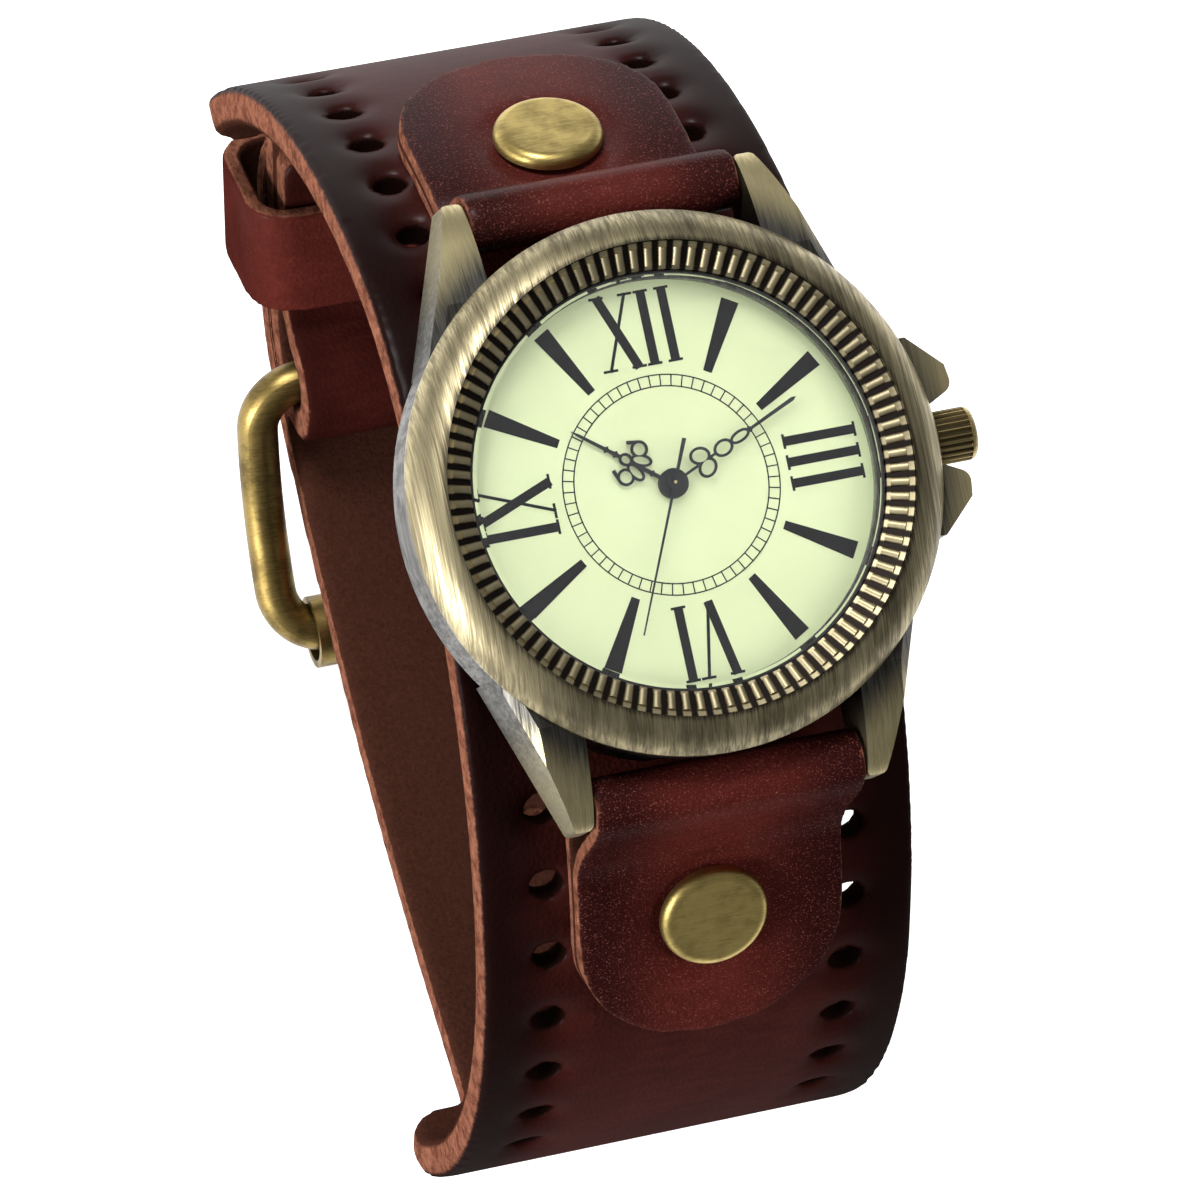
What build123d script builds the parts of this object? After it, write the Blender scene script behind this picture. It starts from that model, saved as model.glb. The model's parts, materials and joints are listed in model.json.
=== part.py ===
from build123d import *
from math import atan2, cos, degrees, hypot, pi, radians, sin, sqrt
import os

os.makedirs("parts", exist_ok=True)

# A wide leather cuff that carries a round watch between two riveted leather tabs.
# All lengths are in millimetres. The origin is the middle of the crystal's outer face,
# +Z points out of the dial, +Y to twelve o'clock and +X to the crown.

# Case and bezel
bezel_diameter = 42.1
bezel_rise = 2.75
bezel_edge = 0.35
bezel_swell = 0.28
case_diameter = 41.8
case_wall_height = 5.1
case_foot_drop = 0.8
case_foot_step = 1.3
case_bore_diameter = 33.0
case_floor_width = 2.3
reed_outer_diameter = 36.5
reed_inner_diameter = 32.4
reed_rise = 1.25
reed_slope_drop = 0.9
reed_count = 96
reed_thickness = 0.76
part_gap = 0.05
cut_overrun = 1.0

# Crystal, dial and the room for the hands
crystal_diameter = 32.0
crystal_thickness = 1.2
crystal_bevel = 0.25
crystal_seat_thickness = 0.55
crystal_seat_diameter = 31.4
bezel_seat_depth = 1.45
dial_ring_height = 1.3
dial_ring_bore = 31.8
dial_thickness = 0.4
dial_hole_diameter = 2.0
ink_thickness = 0.03

# Printed marks on the dial
marker_inner = 9.28
marker_outer = 15.17
marker_inner_width = 0.68
marker_outer_width = 1.42
numeral_stroke = 0.72
numeral_hairline = 0.24
numeral_serif = 1.15
numeral_serif_height = 0.2
track_outer = 8.57
track_inner = 7.69
track_line = 0.09
track_ticks = 60

# Levels of the movement, from the dial down to the case back
motion_room = 1.05
plate_thickness = 0.8
train_room = 1.75
bridge_thickness = 0.35
back_room = 0.6
case_back_thickness = 1.05
case_back_diameter = 37.4
case_back_rim_height = 0.75
case_back_rim_wall = 0.75
case_back_bevel = 0.4
plate_diameter = 26.0
plate_rim_wall = 0.8
bridge_near_reach = 4.5
bridge_far_reach = 7.9
bridge_near_bearings = (280.0, 330.0)
bridge_far_bearing = 108.5
bridge_foot_diameter = 1.3
dial_foot_bearings = (110.0, 290.0)
gasket_thickness = 0.3

# Hands
hand_thickness = 0.15
hand_boss_diameter = 2.3
hour_hand_length = 8.8
hour_hand_angle = 307.5
minute_hand_length = 11.9
minute_hand_angle = 66.0
second_hand_length = 12.1
second_hand_tail = 3.5
second_hand_angle = 204.0
hand_line = 0.21
hand_needle_width = 0.3
# Loops are shares of the hand's length: across, along, half width and half length
hour_loop_shares = ((0.058, 0.335, 0.045, 0.085), (0.138, 0.395, 0.066, 0.066), (0.0, 0.462, 0.045, 0.052))
hour_loop_turns = (18.0, 0.0, 0.0)
hour_needle_share = 0.6
hour_bead_shares = ((0.2, 0.6), (0.565, 0.72), (0.655, 0.68))
hour_barb_shares = ((0.19, 0.43), (0.137, 0.52))
barb_width_share = 1.3
hour_blade_shares = (0.5, 0.93)
hour_window_shares = (0.335, 0.12)
minute_loop_shares = ((0.0, 0.405, 0.046, 0.062), (0.0, 0.54, 0.03, 0.066))
heart_lobe_shares = (0.045, 0.245, 0.05, 0.062)
heart_turn = 24.0
minute_neck_shares = (0.2, 0.285, 0.345)
minute_bead_share = 0.62
minute_blade_shares = (0.6, 0.97)
blade_width_shares = (0.55, 0.75)
hour_hand_lift = 0.3
hand_spacing = 0.25
pivot_stub = 0.18

# Wheel train: modules and tooth counts give every distance
wheel_thickness = 0.16
pinion_height = 0.3
train_module = 0.1
centre_module_teeth = 72
rotor_module = 0.1
step_module = 0.12
second_wheel_teeth = 48
second_pinion_teeth = 8
third_wheel_teeth = 60
third_pinion_teeth = 8
centre_wheel_teeth = 64
cannon_pinion_teeth = 10
minute_wheel_teeth = 30
minute_pinion_teeth = 8
hour_wheel_teeth = 32
rotor_pinion_teeth = 8
intermediate_wheel_teeth = 40
intermediate_pinion_teeth = 8
third_wheel_bearing = 200.0
intermediate_bearing = 60.0
rotor_bearing = 100.0
minute_wheel_bearing = 300.0
arbor_diameter = 0.32
pivot_diameter = 0.2
second_arbor_diameter = 0.24
cannon_bore = 0.34
cannon_diameter = 0.84
hour_pipe_bore = 0.94
hour_pipe_diameter = 1.5
shaft_gap = 0.03

# Motor, battery and circuit
rotor_magnet_diameter = 1.3
rotor_magnet_height = 0.7
stator_thickness = 0.4
stator_length = 8.6
stator_width = 2.0
stator_bore_gap = 0.15
coil_diameter = 1.7
coil_length = 6.0
coil_core_thickness = 0.5
coil_core_width = 1.0
coil_core_overhang = 1.5
coil_offset = 3.5
coil_shift = 1.6
battery_diameter = 6.8
battery_height = 1.95
battery_bearing = 140.0
clip_bearing = 80.0
battery_reach = 8.5
clip_thickness = 0.15
clip_width = 1.6
board_thickness = 0.35
board_edge = 5.6
board_radius = 11.9
chip_size = 2.6
chip_height = 0.5
quartz_can_diameter = 1.3
quartz_can_length = 4.6

# Crown and winding stem
stem_axis_depth = 5.45
stem_diameter = 0.9
stem_inner_end = 5.6
stem_groove_diameter = 0.5
stem_groove_width = 0.6
stem_square = 0.56
clutch_diameter = 1.7
clutch_length = 1.5
clutch_position = 7.0
clutch_teeth = 12
lever_reach = 2.6
lever_thickness = 0.25
lever_width = 0.9
lever_pin_diameter = 0.4
crown_pull = 1.0
crown_tube_diameter = 1.96
crown_tube_bore = 1.1
crown_tube_inset = 4.0
crown_tube_projection = 2.2
crown_diameter = 4.2
crown_start = 21.6
crown_length = 3.4
crown_cavity_depth = 1.9
crown_cavity_diameter = 2.9
crown_flutes = 24
crown_flute_depth = 0.24
crown_rounding = 0.5
crown_inner_bevel = 0.25
crown_gasket_width = 0.4
guard_height = 5.0
guard_drop = 0.5
guard_gap = 0.35
guard_reach = 2.35
guard_foot = 7.8
guard_shoulder = 5.2
guard_nose = 3.4
guard_rounding = 1.0

# Lugs and spring bars
lug_gap = 22.0
lug_end_room = 1.7
lug_tip_width = 1.5
lug_tip_rounding = 0.45
lug_root_width = 5.9
lug_root_reach = 12.0
lug_tip_height = 3.2
lug_tip_depth = 5.5
lug_facet = 0.8
bar_reach = 22.9
lug_reach = bar_reach + lug_end_room
bar_depth = 6.3
bar_diameter = 1.8
bar_tube_wall = 0.4
bar_pin_diameter = 0.9
bar_pin_projection = 0.9
bar_pin_inside = 2.6
bar_hole_gap = 0.05
bar_hole_depth = 1.3
bar_end_gap = 0.1
spring_wire = 0.18
spring_turns = 8
tab_recess_reach = 20.1
tab_recess_depth = 2.4

# Leather cuff: the front is an arch of tangent bends, written as radius and turn in degrees
leather = 3.2
cuff_width = 35.5
strap_width = 25.0
cuff_gap = 0.3
layer_gap = 0.15
upper_radii = (60.0, 24.0, 52.0)
upper_turns = (12.5, 24.0, 51.5)
upper_crest_radius = 5.0
upper_crest_turn = 48.0
upper_run = 17.0
buckle_bend_radius = 11.0
buckle_bend_turn = 42.0
flap_bend_radius = 4.0
flap_extra_turn = 20.0
lower_radii = (34.0, 52.0, 40.0)
lower_turns = (10.0, 34.5, 54.5)
lower_crest_radius = 4.6
lower_crest_turn = 59.0
lower_run = 12.0
lower_back_radius = 130.0
lower_back_turn = 14.0
join_handle = 7.4
shoulder_rounding = 3.2
upper_shoulder_step = 3.3
lower_shoulder_step = 0.8
tail_rounding = 7.0
punch_diameter = 2.7
punch_line = 12.3
punch_pitch = 6.5
punch_count = 7
upper_punch_start = 19.0
lower_punch_start = 22.0
prong_slot_length = 7.6
tail_hole_diameter = 3.4
tail_hole_pitch = 9.0
tail_hole_count = 3

# Tabs and rivets
tab_width = 21.6
tab_leather = 1.4
tab_join = 25.2
upper_tab_bend_reach = 25.2
lower_tab_bend_reach = 27.6
tab_end_reach = 43.0
upper_rivet_set_back = 13.2
lower_rivet_set_back = 11.5
upper_rivet_reach = tab_end_reach - upper_rivet_set_back
lower_rivet_reach = tab_end_reach - lower_rivet_set_back
tab_under_step = 3.4
tab_heading = 68.0
tab_handle = 3.6
rivet_cap_diameter = 8.7
rivet_cap_height = 1.15
rivet_cap_rounding = 0.85
rivet_post_diameter = 2.4
rivet_hole_gap = 0.1
rivet_back_diameter = 7.6
rivet_back_height = 0.8
rivet_seat_gap = 0.03

# Buckle and keeper
buckle_wire = 3.5
buckle_inner_width = 28.0
buckle_corner = 4.2
buckle_length = 22.7
buckle_tilt = 27.0
buckle_arch = 30.0
wrap_gap = 0.3
roller_diameter = 6.2
roller_bore = 5.0
roller_end_gap = 0.8
prong_wire = 2.6
prong_gap = 0.12
prong_crank_reach = 5.8
prong_crank_drop = 6.6
prong_crank_step = 3.1
prong_bend = 2.4
prong_overhang = 1.6
keeper_leather = 1.5
keeper_width = 9.6
keeper_stand_off = 0.4
keeper_side_room = 1.7
keeper_rounding = 2.4
keeper_set_back = 4.3

# Levels worked out from the sizes above; all are depths below the crystal's outer face
dial_level = -(crystal_thickness + crystal_seat_thickness + dial_ring_height)
dial_underside = dial_level - dial_thickness
plate_top = dial_underside - motion_room
plate_bottom = plate_top - plate_thickness
bridge_top = plate_bottom - train_room
bridge_bottom = bridge_top - bridge_thickness
back_inside = bridge_bottom - back_room
back_outside = back_inside - case_back_thickness
seat_level = -bezel_seat_depth
stem_level = -stem_axis_depth
bar_level = -bar_depth


def write(piece, name):
    piece.part.label = name
    export_step(piece.part, "parts/" + name + ".step")


def ring(outer_diameter, inner_diameter, low, high):
    """A plain ring on the watch's axis, added to the part being built."""
    with BuildSketch(Plane.XY.offset(low)) as section:
        Circle(outer_diameter / 2)
        Circle(inner_diameter / 2, mode=Mode.SUBTRACT)
    extrude(section.sketch, amount=high - low)


def disc(diameter, low, high, place=(0, 0), mode=Mode.ADD):
    """A plain disc that stands along Z at a place, added to or cut from the part being built."""
    with BuildSketch(Plane.XY.offset(low)) as section:
        with Locations(place):
            Circle(diameter / 2)
    extrude(section.sketch, amount=high - low, mode=mode)


def polar(reach, bearing):
    """The place at a distance from the watch's axis, with the bearing counted from +X to +Y."""
    return (reach * cos(radians(bearing)), reach * sin(radians(bearing)))


def away(place, reach, bearing):
    step = polar(reach, bearing)
    return (place[0] + step[0], place[1] + step[1])


# Case body

bezel_radius = bezel_diameter / 2
case_radius = case_diameter / 2
case_bore = case_bore_diameter / 2
reed_outer = reed_outer_diameter / 2
reed_inner = reed_inner_diameter / 2
wall_low = seat_level - case_wall_height
body_low = back_inside
lug_inner = lug_gap / 2
lug_low = -(lug_tip_depth + lug_tip_height)

with BuildPart() as lug:
    with BuildSketch(Plane.XY.offset(lug_low)):
        with BuildLine():
            Polyline(
                (lug_inner, lug_root_reach),
                (lug_inner, lug_reach),
                (lug_inner + lug_tip_width, lug_reach),
                (lug_inner + lug_root_width, lug_root_reach),
                close=True,
            )
        make_face()
    extrude(amount=-lug_low)
    with BuildSketch(Plane.YZ):
        with BuildLine():
            Polyline((lug_root_reach, lug_low), (lug_root_reach, seat_level), (case_bore, seat_level))
            Bezier(
                (case_bore, seat_level),
                (bezel_radius - lug_facet, seat_level - lug_facet),
                (lug_reach - lug_facet, -lug_tip_depth + lug_tip_width),
                (lug_reach, -lug_tip_depth),
            )
            Polyline((lug_reach, -lug_tip_depth), (lug_reach, lug_low), (lug_root_reach, lug_low))
        make_face()
    extrude(amount=lug_inner + lug_root_width, both=True, mode=Mode.INTERSECT)
    outer_top = lug.edges().sort_by(Axis.X)[-3:].sort_by(Axis.Z)[-1]
    chamfer(outer_top, length=lug_facet)
    fillet(lug.edges().filter_by(Axis.Z).group_by(Axis.Y)[-1], radius=lug_tip_rounding)

with BuildPart() as case_body:
    with BuildSketch(Plane.XZ):
        with BuildLine():
            Polyline(
                (crystal_seat_diameter / 2, -crystal_thickness),
                (reed_inner, -crystal_thickness),
                (reed_inner, seat_level),
                (case_radius, seat_level),
                (case_radius, wall_low),
                (case_radius - case_foot_step, wall_low - case_foot_drop),
                (case_bore + case_floor_width, body_low),
                (case_bore, body_low),
                (case_bore, -(crystal_thickness + crystal_seat_thickness)),
                (crystal_seat_diameter / 2, -(crystal_thickness + crystal_seat_thickness)),
                close=True,
            )
        make_face()
    revolve(axis=Axis.Z)
    add(lug.part)
    add(lug.part.mirror(Plane.YZ))
    add(lug.part.mirror(Plane.XZ))
    add(lug.part.mirror(Plane.YZ).mirror(Plane.XZ))
    # Crown guards: two shoulders beside the crown
    guard_top = seat_level - guard_drop
    guard_inner = crown_diameter / 2 + guard_gap
    with BuildSketch(Plane.XY.offset(guard_top)):
        with BuildLine():
            Polyline(
                (case_bore, guard_foot),
                (case_radius - part_gap - guard_drop, guard_foot),
                (case_radius + guard_reach - guard_drop / 2, guard_shoulder),
                (case_radius + guard_reach, guard_nose),
                (case_radius + guard_drop, guard_inner),
                (case_bore + guard_drop, guard_inner),
                close=True,
            )
        make_face()
        mirror(about=Plane.XZ)
    extrude(amount=-guard_height)
    guard_edges = case_body.edges().filter_by(Axis.Z).group_by(Axis.X)[-1]
    fillet(guard_edges, radius=guard_rounding)
    # The bore is cut again, because the lugs and guards reach into it
    bore_top = -(crystal_thickness + crystal_seat_thickness)
    disc(case_bore_diameter, body_low - cut_overrun, bore_top, mode=Mode.SUBTRACT)
    # Room for the case back under the roots of the lugs
    disc(case_back_diameter + 2 * part_gap, lug_low - cut_overrun, body_low, mode=Mode.SUBTRACT)
    # Flat recess between the lugs for each leather tab
    for side in (1, -1):
        with BuildSketch(Plane.XY.offset(seat_level - tab_recess_depth)):
            with Locations((0, side * (tab_recess_reach + lug_inner / 2))):
                Rectangle(lug_gap, lug_inner)
        extrude(amount=body_low - cut_overrun - seat_level + tab_recess_depth, mode=Mode.SUBTRACT)
    # Blind holes for the spring bar pins, on the inner faces of the lugs
    for side in (1, -1):
        with BuildSketch(Plane.YZ.offset(-(lug_inner + bar_hole_depth))):
            with Locations((side * bar_reach, bar_level)):
                Circle(bar_pin_diameter / 2 + bar_hole_gap)
        extrude(amount=lug_gap + 2 * bar_hole_depth, mode=Mode.SUBTRACT)
    # Hole for the crown tube
    with BuildSketch(Plane.YZ):
        with Locations((0, stem_level)):
            Circle(crown_tube_diameter / 2 + shaft_gap / 2)
    extrude(amount=case_radius + guard_reach, mode=Mode.SUBTRACT)
write(case_body, "case_body")

with BuildPart() as bezel_ring:
    inner = reed_outer + part_gap
    base = seat_level + part_gap / 2
    with BuildSketch(Plane.XZ):
        with BuildLine():
            Line((inner, base), (bezel_radius, base))
            Line((bezel_radius, base), (bezel_radius, base + bezel_edge))
            middle_height = base + (bezel_edge + bezel_rise) / 2
            half_way = ((inner + bezel_radius) / 2 + bezel_swell, middle_height + bezel_swell)
            ThreePointArc((bezel_radius, base + bezel_edge), half_way, (inner, base + bezel_rise))
            Line((inner, base + bezel_rise), (inner, base))
        make_face()
    revolve(axis=Axis.Z)
write(bezel_ring, "bezel_ring")

reed_top = reed_rise
reed_low = reed_top - reed_slope_drop
with BuildPart() as reeded_ring:
    reed_floor = reed_thickness / 3
    with BuildSketch(Plane.XZ):
        with BuildLine():
            Polyline(
                (reed_inner + part_gap, seat_level + part_gap / 2),
                (reed_outer, seat_level + part_gap / 2),
                (reed_outer, reed_top - reed_floor),
                (reed_inner + part_gap, reed_low - reed_floor),
                close=True,
            )
        make_face()
    revolve(axis=Axis.Z)
    slope = degrees(atan2(reed_slope_drop, reed_outer - reed_inner))
    reed_length = (reed_outer - reed_inner - reed_thickness) / cos(radians(slope))
    middle = (reed_outer + reed_inner) / 2
    centre_height = (reed_top + reed_low) / 2 - reed_thickness / 2
    with PolarLocations(0, reed_count):
        with Locations(Location((middle, 0, centre_height), (0, 90 - slope, 0))):
            Cylinder(reed_thickness / 2, reed_length)
write(reeded_ring, "reeded_ring")

with BuildPart() as crystal:
    disc(crystal_diameter, -crystal_thickness + part_gap / 2, 0)
    chamfer(crystal.edges().group_by(Axis.Z)[-1], length=crystal_bevel)
write(crystal, "crystal")

with BuildPart() as crystal_gasket:
    gasket_low = -crystal_thickness + part_gap / 2
    ring(reed_inner_diameter - part_gap, crystal_diameter + part_gap, gasket_low, -crystal_bevel)
write(crystal_gasket, "crystal_gasket")

with BuildPart() as dial_ring:
    ring_top = -(crystal_thickness + crystal_seat_thickness) - part_gap / 2
    ring(case_bore_diameter - 2 * part_gap, dial_ring_bore, dial_level + part_gap / 2, ring_top)
write(dial_ring, "dial_ring")

dial_feet = [polar(plate_diameter / 2 - 2 * plate_rim_wall, bearing) for bearing in dial_foot_bearings]
foot_diameter = 2 * arbor_diameter
with BuildPart() as dial:
    ring(case_bore_diameter - 2 * part_gap, dial_hole_diameter, dial_underside, dial_level)
    for foot in dial_feet:
        disc(foot_diameter, plate_top - plate_thickness / 2, dial_underside, foot)
write(dial, "dial")


def hour_place(hour, reach):
    return polar(reach, 90 - 30 * hour)


def stroke(foot, head, width):
    """A straight stroke with square ends, in the sketch being built."""
    length = hypot(head[0] - foot[0], head[1] - foot[1])
    turn = degrees(atan2(head[1] - foot[1], head[0] - foot[0]))
    with Locations(Location(((foot[0] + head[0]) / 2, (foot[1] + head[1]) / 2, 0), (0, 0, turn))):
        Rectangle(length, width)


def letter_strokes(letter, at):
    """One Roman letter from its middle line; the foot is inward and the head is outward on the dial."""
    foot, head = marker_inner, marker_outer
    spread = numeral_serif
    serif = numeral_serif_height / 2
    if letter == "I":
        stroke((at, foot), (at, head), numeral_stroke)
        ends = [(at, foot), (at, head)]
    elif letter == "V":
        stroke((at, foot), (at - spread, head), numeral_stroke)
        stroke((at, foot), (at + spread, head), numeral_hairline)
        ends = [(at - spread, head), (at + spread, head)]
    else:
        stroke((at + spread, foot), (at - spread, head), numeral_stroke)
        stroke((at - spread, foot), (at + spread, head), numeral_hairline)
        ends = [(at + side * spread, level) for side in (-1, 1) for level in (foot, head)]
    for across, level in ends:
        inward = serif if level == foot else -serif
        with Locations((across, level + inward)):
            Rectangle(numeral_serif, numeral_serif_height)


wide_half = numeral_serif + numeral_stroke / 3
letter_half = {"I": numeral_stroke / 2 + numeral_serif / 4, "V": wide_half, "X": wide_half}
letter_space = numeral_stroke / 2

with BuildPart() as dial_markings:
    ink_plane = Plane.XY.offset(dial_level + part_gap / 10)
    for hour in (1, 2, 4, 5, 7, 8, 10, 11):
        with BuildSketch(ink_plane.rotated((0, 0, -30 * hour))):
            with BuildLine():
                Polyline(
                    (-marker_inner_width / 2, marker_inner),
                    (marker_inner_width / 2, marker_inner),
                    (marker_outer_width / 2, marker_outer),
                    (-marker_outer_width / 2, marker_outer),
                    close=True,
                )
            make_face()
        extrude(amount=ink_thickness)
    for hour, letters in ((12, "XII"), (3, "III"), (6, "VI"), (9, "IX")):
        width = sum(2 * letter_half[letter] for letter in letters) + letter_space * (len(letters) - 1)
        at = -width / 2
        for letter in letters:
            at = at + letter_half[letter]
            with BuildSketch(ink_plane.rotated((0, 0, -30 * hour))):
                letter_strokes(letter, at)
            extrude(amount=ink_thickness)
            at = at + letter_half[letter] + letter_space
    with BuildSketch(ink_plane):
        for radius in (track_outer, track_inner):
            Circle(radius)
            Circle(radius - track_line, mode=Mode.SUBTRACT)
        with PolarLocations((track_outer + track_inner) / 2, track_ticks):
            Rectangle(track_outer - track_inner, track_line)
    extrude(amount=ink_thickness)
write(dial_markings, "dial_markings")


# Case back and the movement's holder

with BuildPart() as case_back:
    disc(case_back_diameter, back_outside, back_inside - part_gap)
    rim_outer = case_bore_diameter - 2 * part_gap
    rim_low = back_inside - 2 * part_gap
    ring(rim_outer, rim_outer - 2 * case_back_rim_wall, rim_low, back_inside + case_back_rim_height)
    chamfer(case_back.edges().group_by(Axis.Z)[0], length=case_back_bevel)
    groove_low = back_inside + part_gap
    with BuildSketch(Plane.XY.offset(groove_low)):
        Circle(rim_outer / 2 + cut_overrun)
        Circle(rim_outer / 2 - gasket_thickness, mode=Mode.SUBTRACT)
    extrude(amount=gasket_thickness + 2 * part_gap, mode=Mode.SUBTRACT)
write(case_back, "case_back")

with BuildPart() as case_back_gasket:
    gasket_inner = rim_outer - 2 * gasket_thickness + part_gap
    gasket_low = groove_low + part_gap
    ring(case_bore_diameter - part_gap, gasket_inner, gasket_low, gasket_low + gasket_thickness)
write(case_back_gasket, "case_back_gasket")

holder_low = back_inside + case_back_rim_height + part_gap
with BuildPart() as movement_holder:
    holder_inner = plate_diameter + 2 * part_gap
    ring(case_bore_diameter - 2 * part_gap, holder_inner, holder_low, dial_underside - part_gap)
    with BuildSketch(Plane.YZ):
        with Locations((0, stem_level)):
            Circle(crown_tube_diameter / 2 + 2 * part_gap)
    extrude(amount=case_bore_diameter, mode=Mode.SUBTRACT)
write(movement_holder, "movement_holder")


# Wheel train

centre_module = 2 * (second_pinion_teeth + third_wheel_teeth) * train_module / 2 / centre_module_teeth
third_reach = (second_pinion_teeth + third_wheel_teeth) * train_module / 2
third_place = polar(third_reach, third_wheel_bearing)
intermediate_reach = (second_wheel_teeth + intermediate_pinion_teeth) * step_module / 2
intermediate_place = polar(intermediate_reach, intermediate_bearing)
rotor_reach = (rotor_pinion_teeth + intermediate_wheel_teeth) * rotor_module / 2
rotor_place = away(intermediate_place, rotor_reach, rotor_bearing)
minute_reach = (cannon_pinion_teeth + minute_wheel_teeth) * train_module / 2
minute_place = polar(minute_reach, minute_wheel_bearing)

level_step = (train_room - 4 * wheel_thickness) / 5
centre_wheel_level = plate_bottom - level_step - wheel_thickness
third_wheel_level = centre_wheel_level - level_step - wheel_thickness
second_wheel_level = third_wheel_level - level_step - wheel_thickness
intermediate_wheel_level = second_wheel_level - level_step - wheel_thickness


def mesh_phase(driver_teeth, driver_phase, follower_teeth, bearing):
    """The follower's turn that puts a gap where the driver has a tooth, on the line of centres."""
    driver_pitch = 360 / driver_teeth
    follower_pitch = 360 / follower_teeth
    share = ((bearing - driver_phase) / driver_pitch) % 1
    return bearing + 180 - (0.5 - share) * follower_pitch


tooth_base_share = 0.31
tooth_tip_share = 0.14
tooth_rise_share = 0.85
tooth_root_share = 1.15


def toothed_wheel(teeth, module, low, high, place, phase=0.0, bore=0.0):
    """A spur wheel with straight-flanked teeth, added to the part being built."""
    tip = module * (teeth / 2 + tooth_rise_share)
    root = module * (teeth / 2 - tooth_root_share)
    pitch = 360 / teeth
    corners = []
    for tooth in range(teeth):
        middle_angle = phase + tooth * pitch
        corners.append(away(place, root, middle_angle - tooth_base_share * pitch))
        corners.append(away(place, tip, middle_angle - tooth_tip_share * pitch))
        corners.append(away(place, tip, middle_angle + tooth_tip_share * pitch))
        corners.append(away(place, root, middle_angle + tooth_base_share * pitch))
    with BuildSketch(Plane.XY.offset(low)) as section:
        with BuildLine():
            Polyline(*corners, close=True)
        make_face()
        if bore > 0:
            with Locations(place):
                Circle(bore / 2, mode=Mode.SUBTRACT)
    extrude(section.sketch, amount=high - low)


third_phase = mesh_phase(second_pinion_teeth, 0, third_wheel_teeth, third_wheel_bearing)
centre_phase = mesh_phase(third_pinion_teeth, 0, centre_wheel_teeth, third_wheel_bearing + 180)
minute_phase = mesh_phase(cannon_pinion_teeth, 0, minute_wheel_teeth, minute_wheel_bearing)
hour_phase = mesh_phase(minute_pinion_teeth, 0, hour_wheel_teeth, minute_wheel_bearing + 180)
second_phase = mesh_phase(intermediate_pinion_teeth, 0, second_wheel_teeth, intermediate_bearing + 180)
intermediate_phase = mesh_phase(rotor_pinion_teeth, 0, intermediate_wheel_teeth, rotor_bearing + 180)

pivot_hole = pivot_diameter + 2 * shaft_gap
pivot_low = bridge_top - bridge_thickness * 2 / 3
pivot_high = plate_bottom + plate_thickness / 2

# Heights of the hands over the dial
hour_hand_low = dial_level + hour_hand_lift
minute_hand_low = hour_hand_low + hand_thickness + hand_spacing
second_hand_low = minute_hand_low + hand_thickness + hand_spacing
cannon_pinion_low = plate_top + part_gap * 2
minute_wheel_low = cannon_pinion_low + part_gap
minute_pinion_high = minute_wheel_low + wheel_thickness + pinion_height
hour_wheel_low = minute_wheel_low + wheel_thickness + part_gap * 2

with BuildPart() as second_wheel:
    disc(second_arbor_diameter, bridge_top, second_hand_low + hand_thickness + pivot_stub)
    disc(pivot_diameter, pivot_low, bridge_top)
    disc(second_arbor_diameter * 2, second_wheel_level - part_gap, third_wheel_level - part_gap)
    wheel_high = second_wheel_level + wheel_thickness
    toothed_wheel(second_wheel_teeth, step_module, second_wheel_level, wheel_high, (0, 0), second_phase)
    pinion_low = third_wheel_level - part_gap
    pinion_high = third_wheel_level + wheel_thickness + part_gap
    toothed_wheel(second_pinion_teeth, train_module, pinion_low, pinion_high, (0, 0))
write(second_wheel, "second_wheel")

with BuildPart() as third_wheel:
    disc(arbor_diameter, intermediate_wheel_level, plate_bottom - part_gap, third_place)
    disc(pivot_diameter, pivot_low, pivot_high, third_place)
    wheel_high = third_wheel_level + wheel_thickness
    toothed_wheel(third_wheel_teeth, train_module, third_wheel_level, wheel_high, third_place, third_phase)
    pinion_low = centre_wheel_level - part_gap
    pinion_high = centre_wheel_level + wheel_thickness + part_gap
    toothed_wheel(third_pinion_teeth, centre_module, pinion_low, pinion_high, third_place)
write(third_wheel, "third_wheel")

with BuildPart() as centre_wheel:
    wheel_high = centre_wheel_level + wheel_thickness
    wheel_low = centre_wheel_level
    toothed_wheel(centre_wheel_teeth, centre_module, wheel_low, wheel_high, (0, 0), centre_phase, cannon_bore)
    ring(cannon_diameter, cannon_bore, centre_wheel_level, minute_hand_low + hand_thickness + part_gap)
    pinion_high = minute_wheel_low + wheel_thickness + part_gap
    toothed_wheel(cannon_pinion_teeth, train_module, cannon_pinion_low, pinion_high, (0, 0), 0, cannon_bore)
write(centre_wheel, "centre_wheel")

with BuildPart() as minute_wheel:
    post_hole = pivot_diameter + 2 * shaft_gap
    wheel_high = minute_wheel_low + wheel_thickness
    wheel_low, pinion_high = minute_wheel_low, minute_pinion_high
    phase = minute_phase
    toothed_wheel(minute_wheel_teeth, train_module, wheel_low, wheel_high, minute_place, phase, post_hole)
    toothed_wheel(minute_pinion_teeth, train_module, wheel_high, pinion_high, minute_place, 0, post_hole)
write(minute_wheel, "minute_wheel")

with BuildPart() as hour_wheel:
    wheel_high = hour_wheel_low + wheel_thickness
    wheel_low, pipe_bore = hour_wheel_low, hour_pipe_bore
    toothed_wheel(hour_wheel_teeth, train_module, wheel_low, wheel_high, (0, 0), hour_phase, pipe_bore)
    ring(hour_pipe_diameter, hour_pipe_bore, hour_wheel_low, hour_hand_low + hand_thickness + part_gap)
write(hour_wheel, "hour_wheel")

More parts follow.
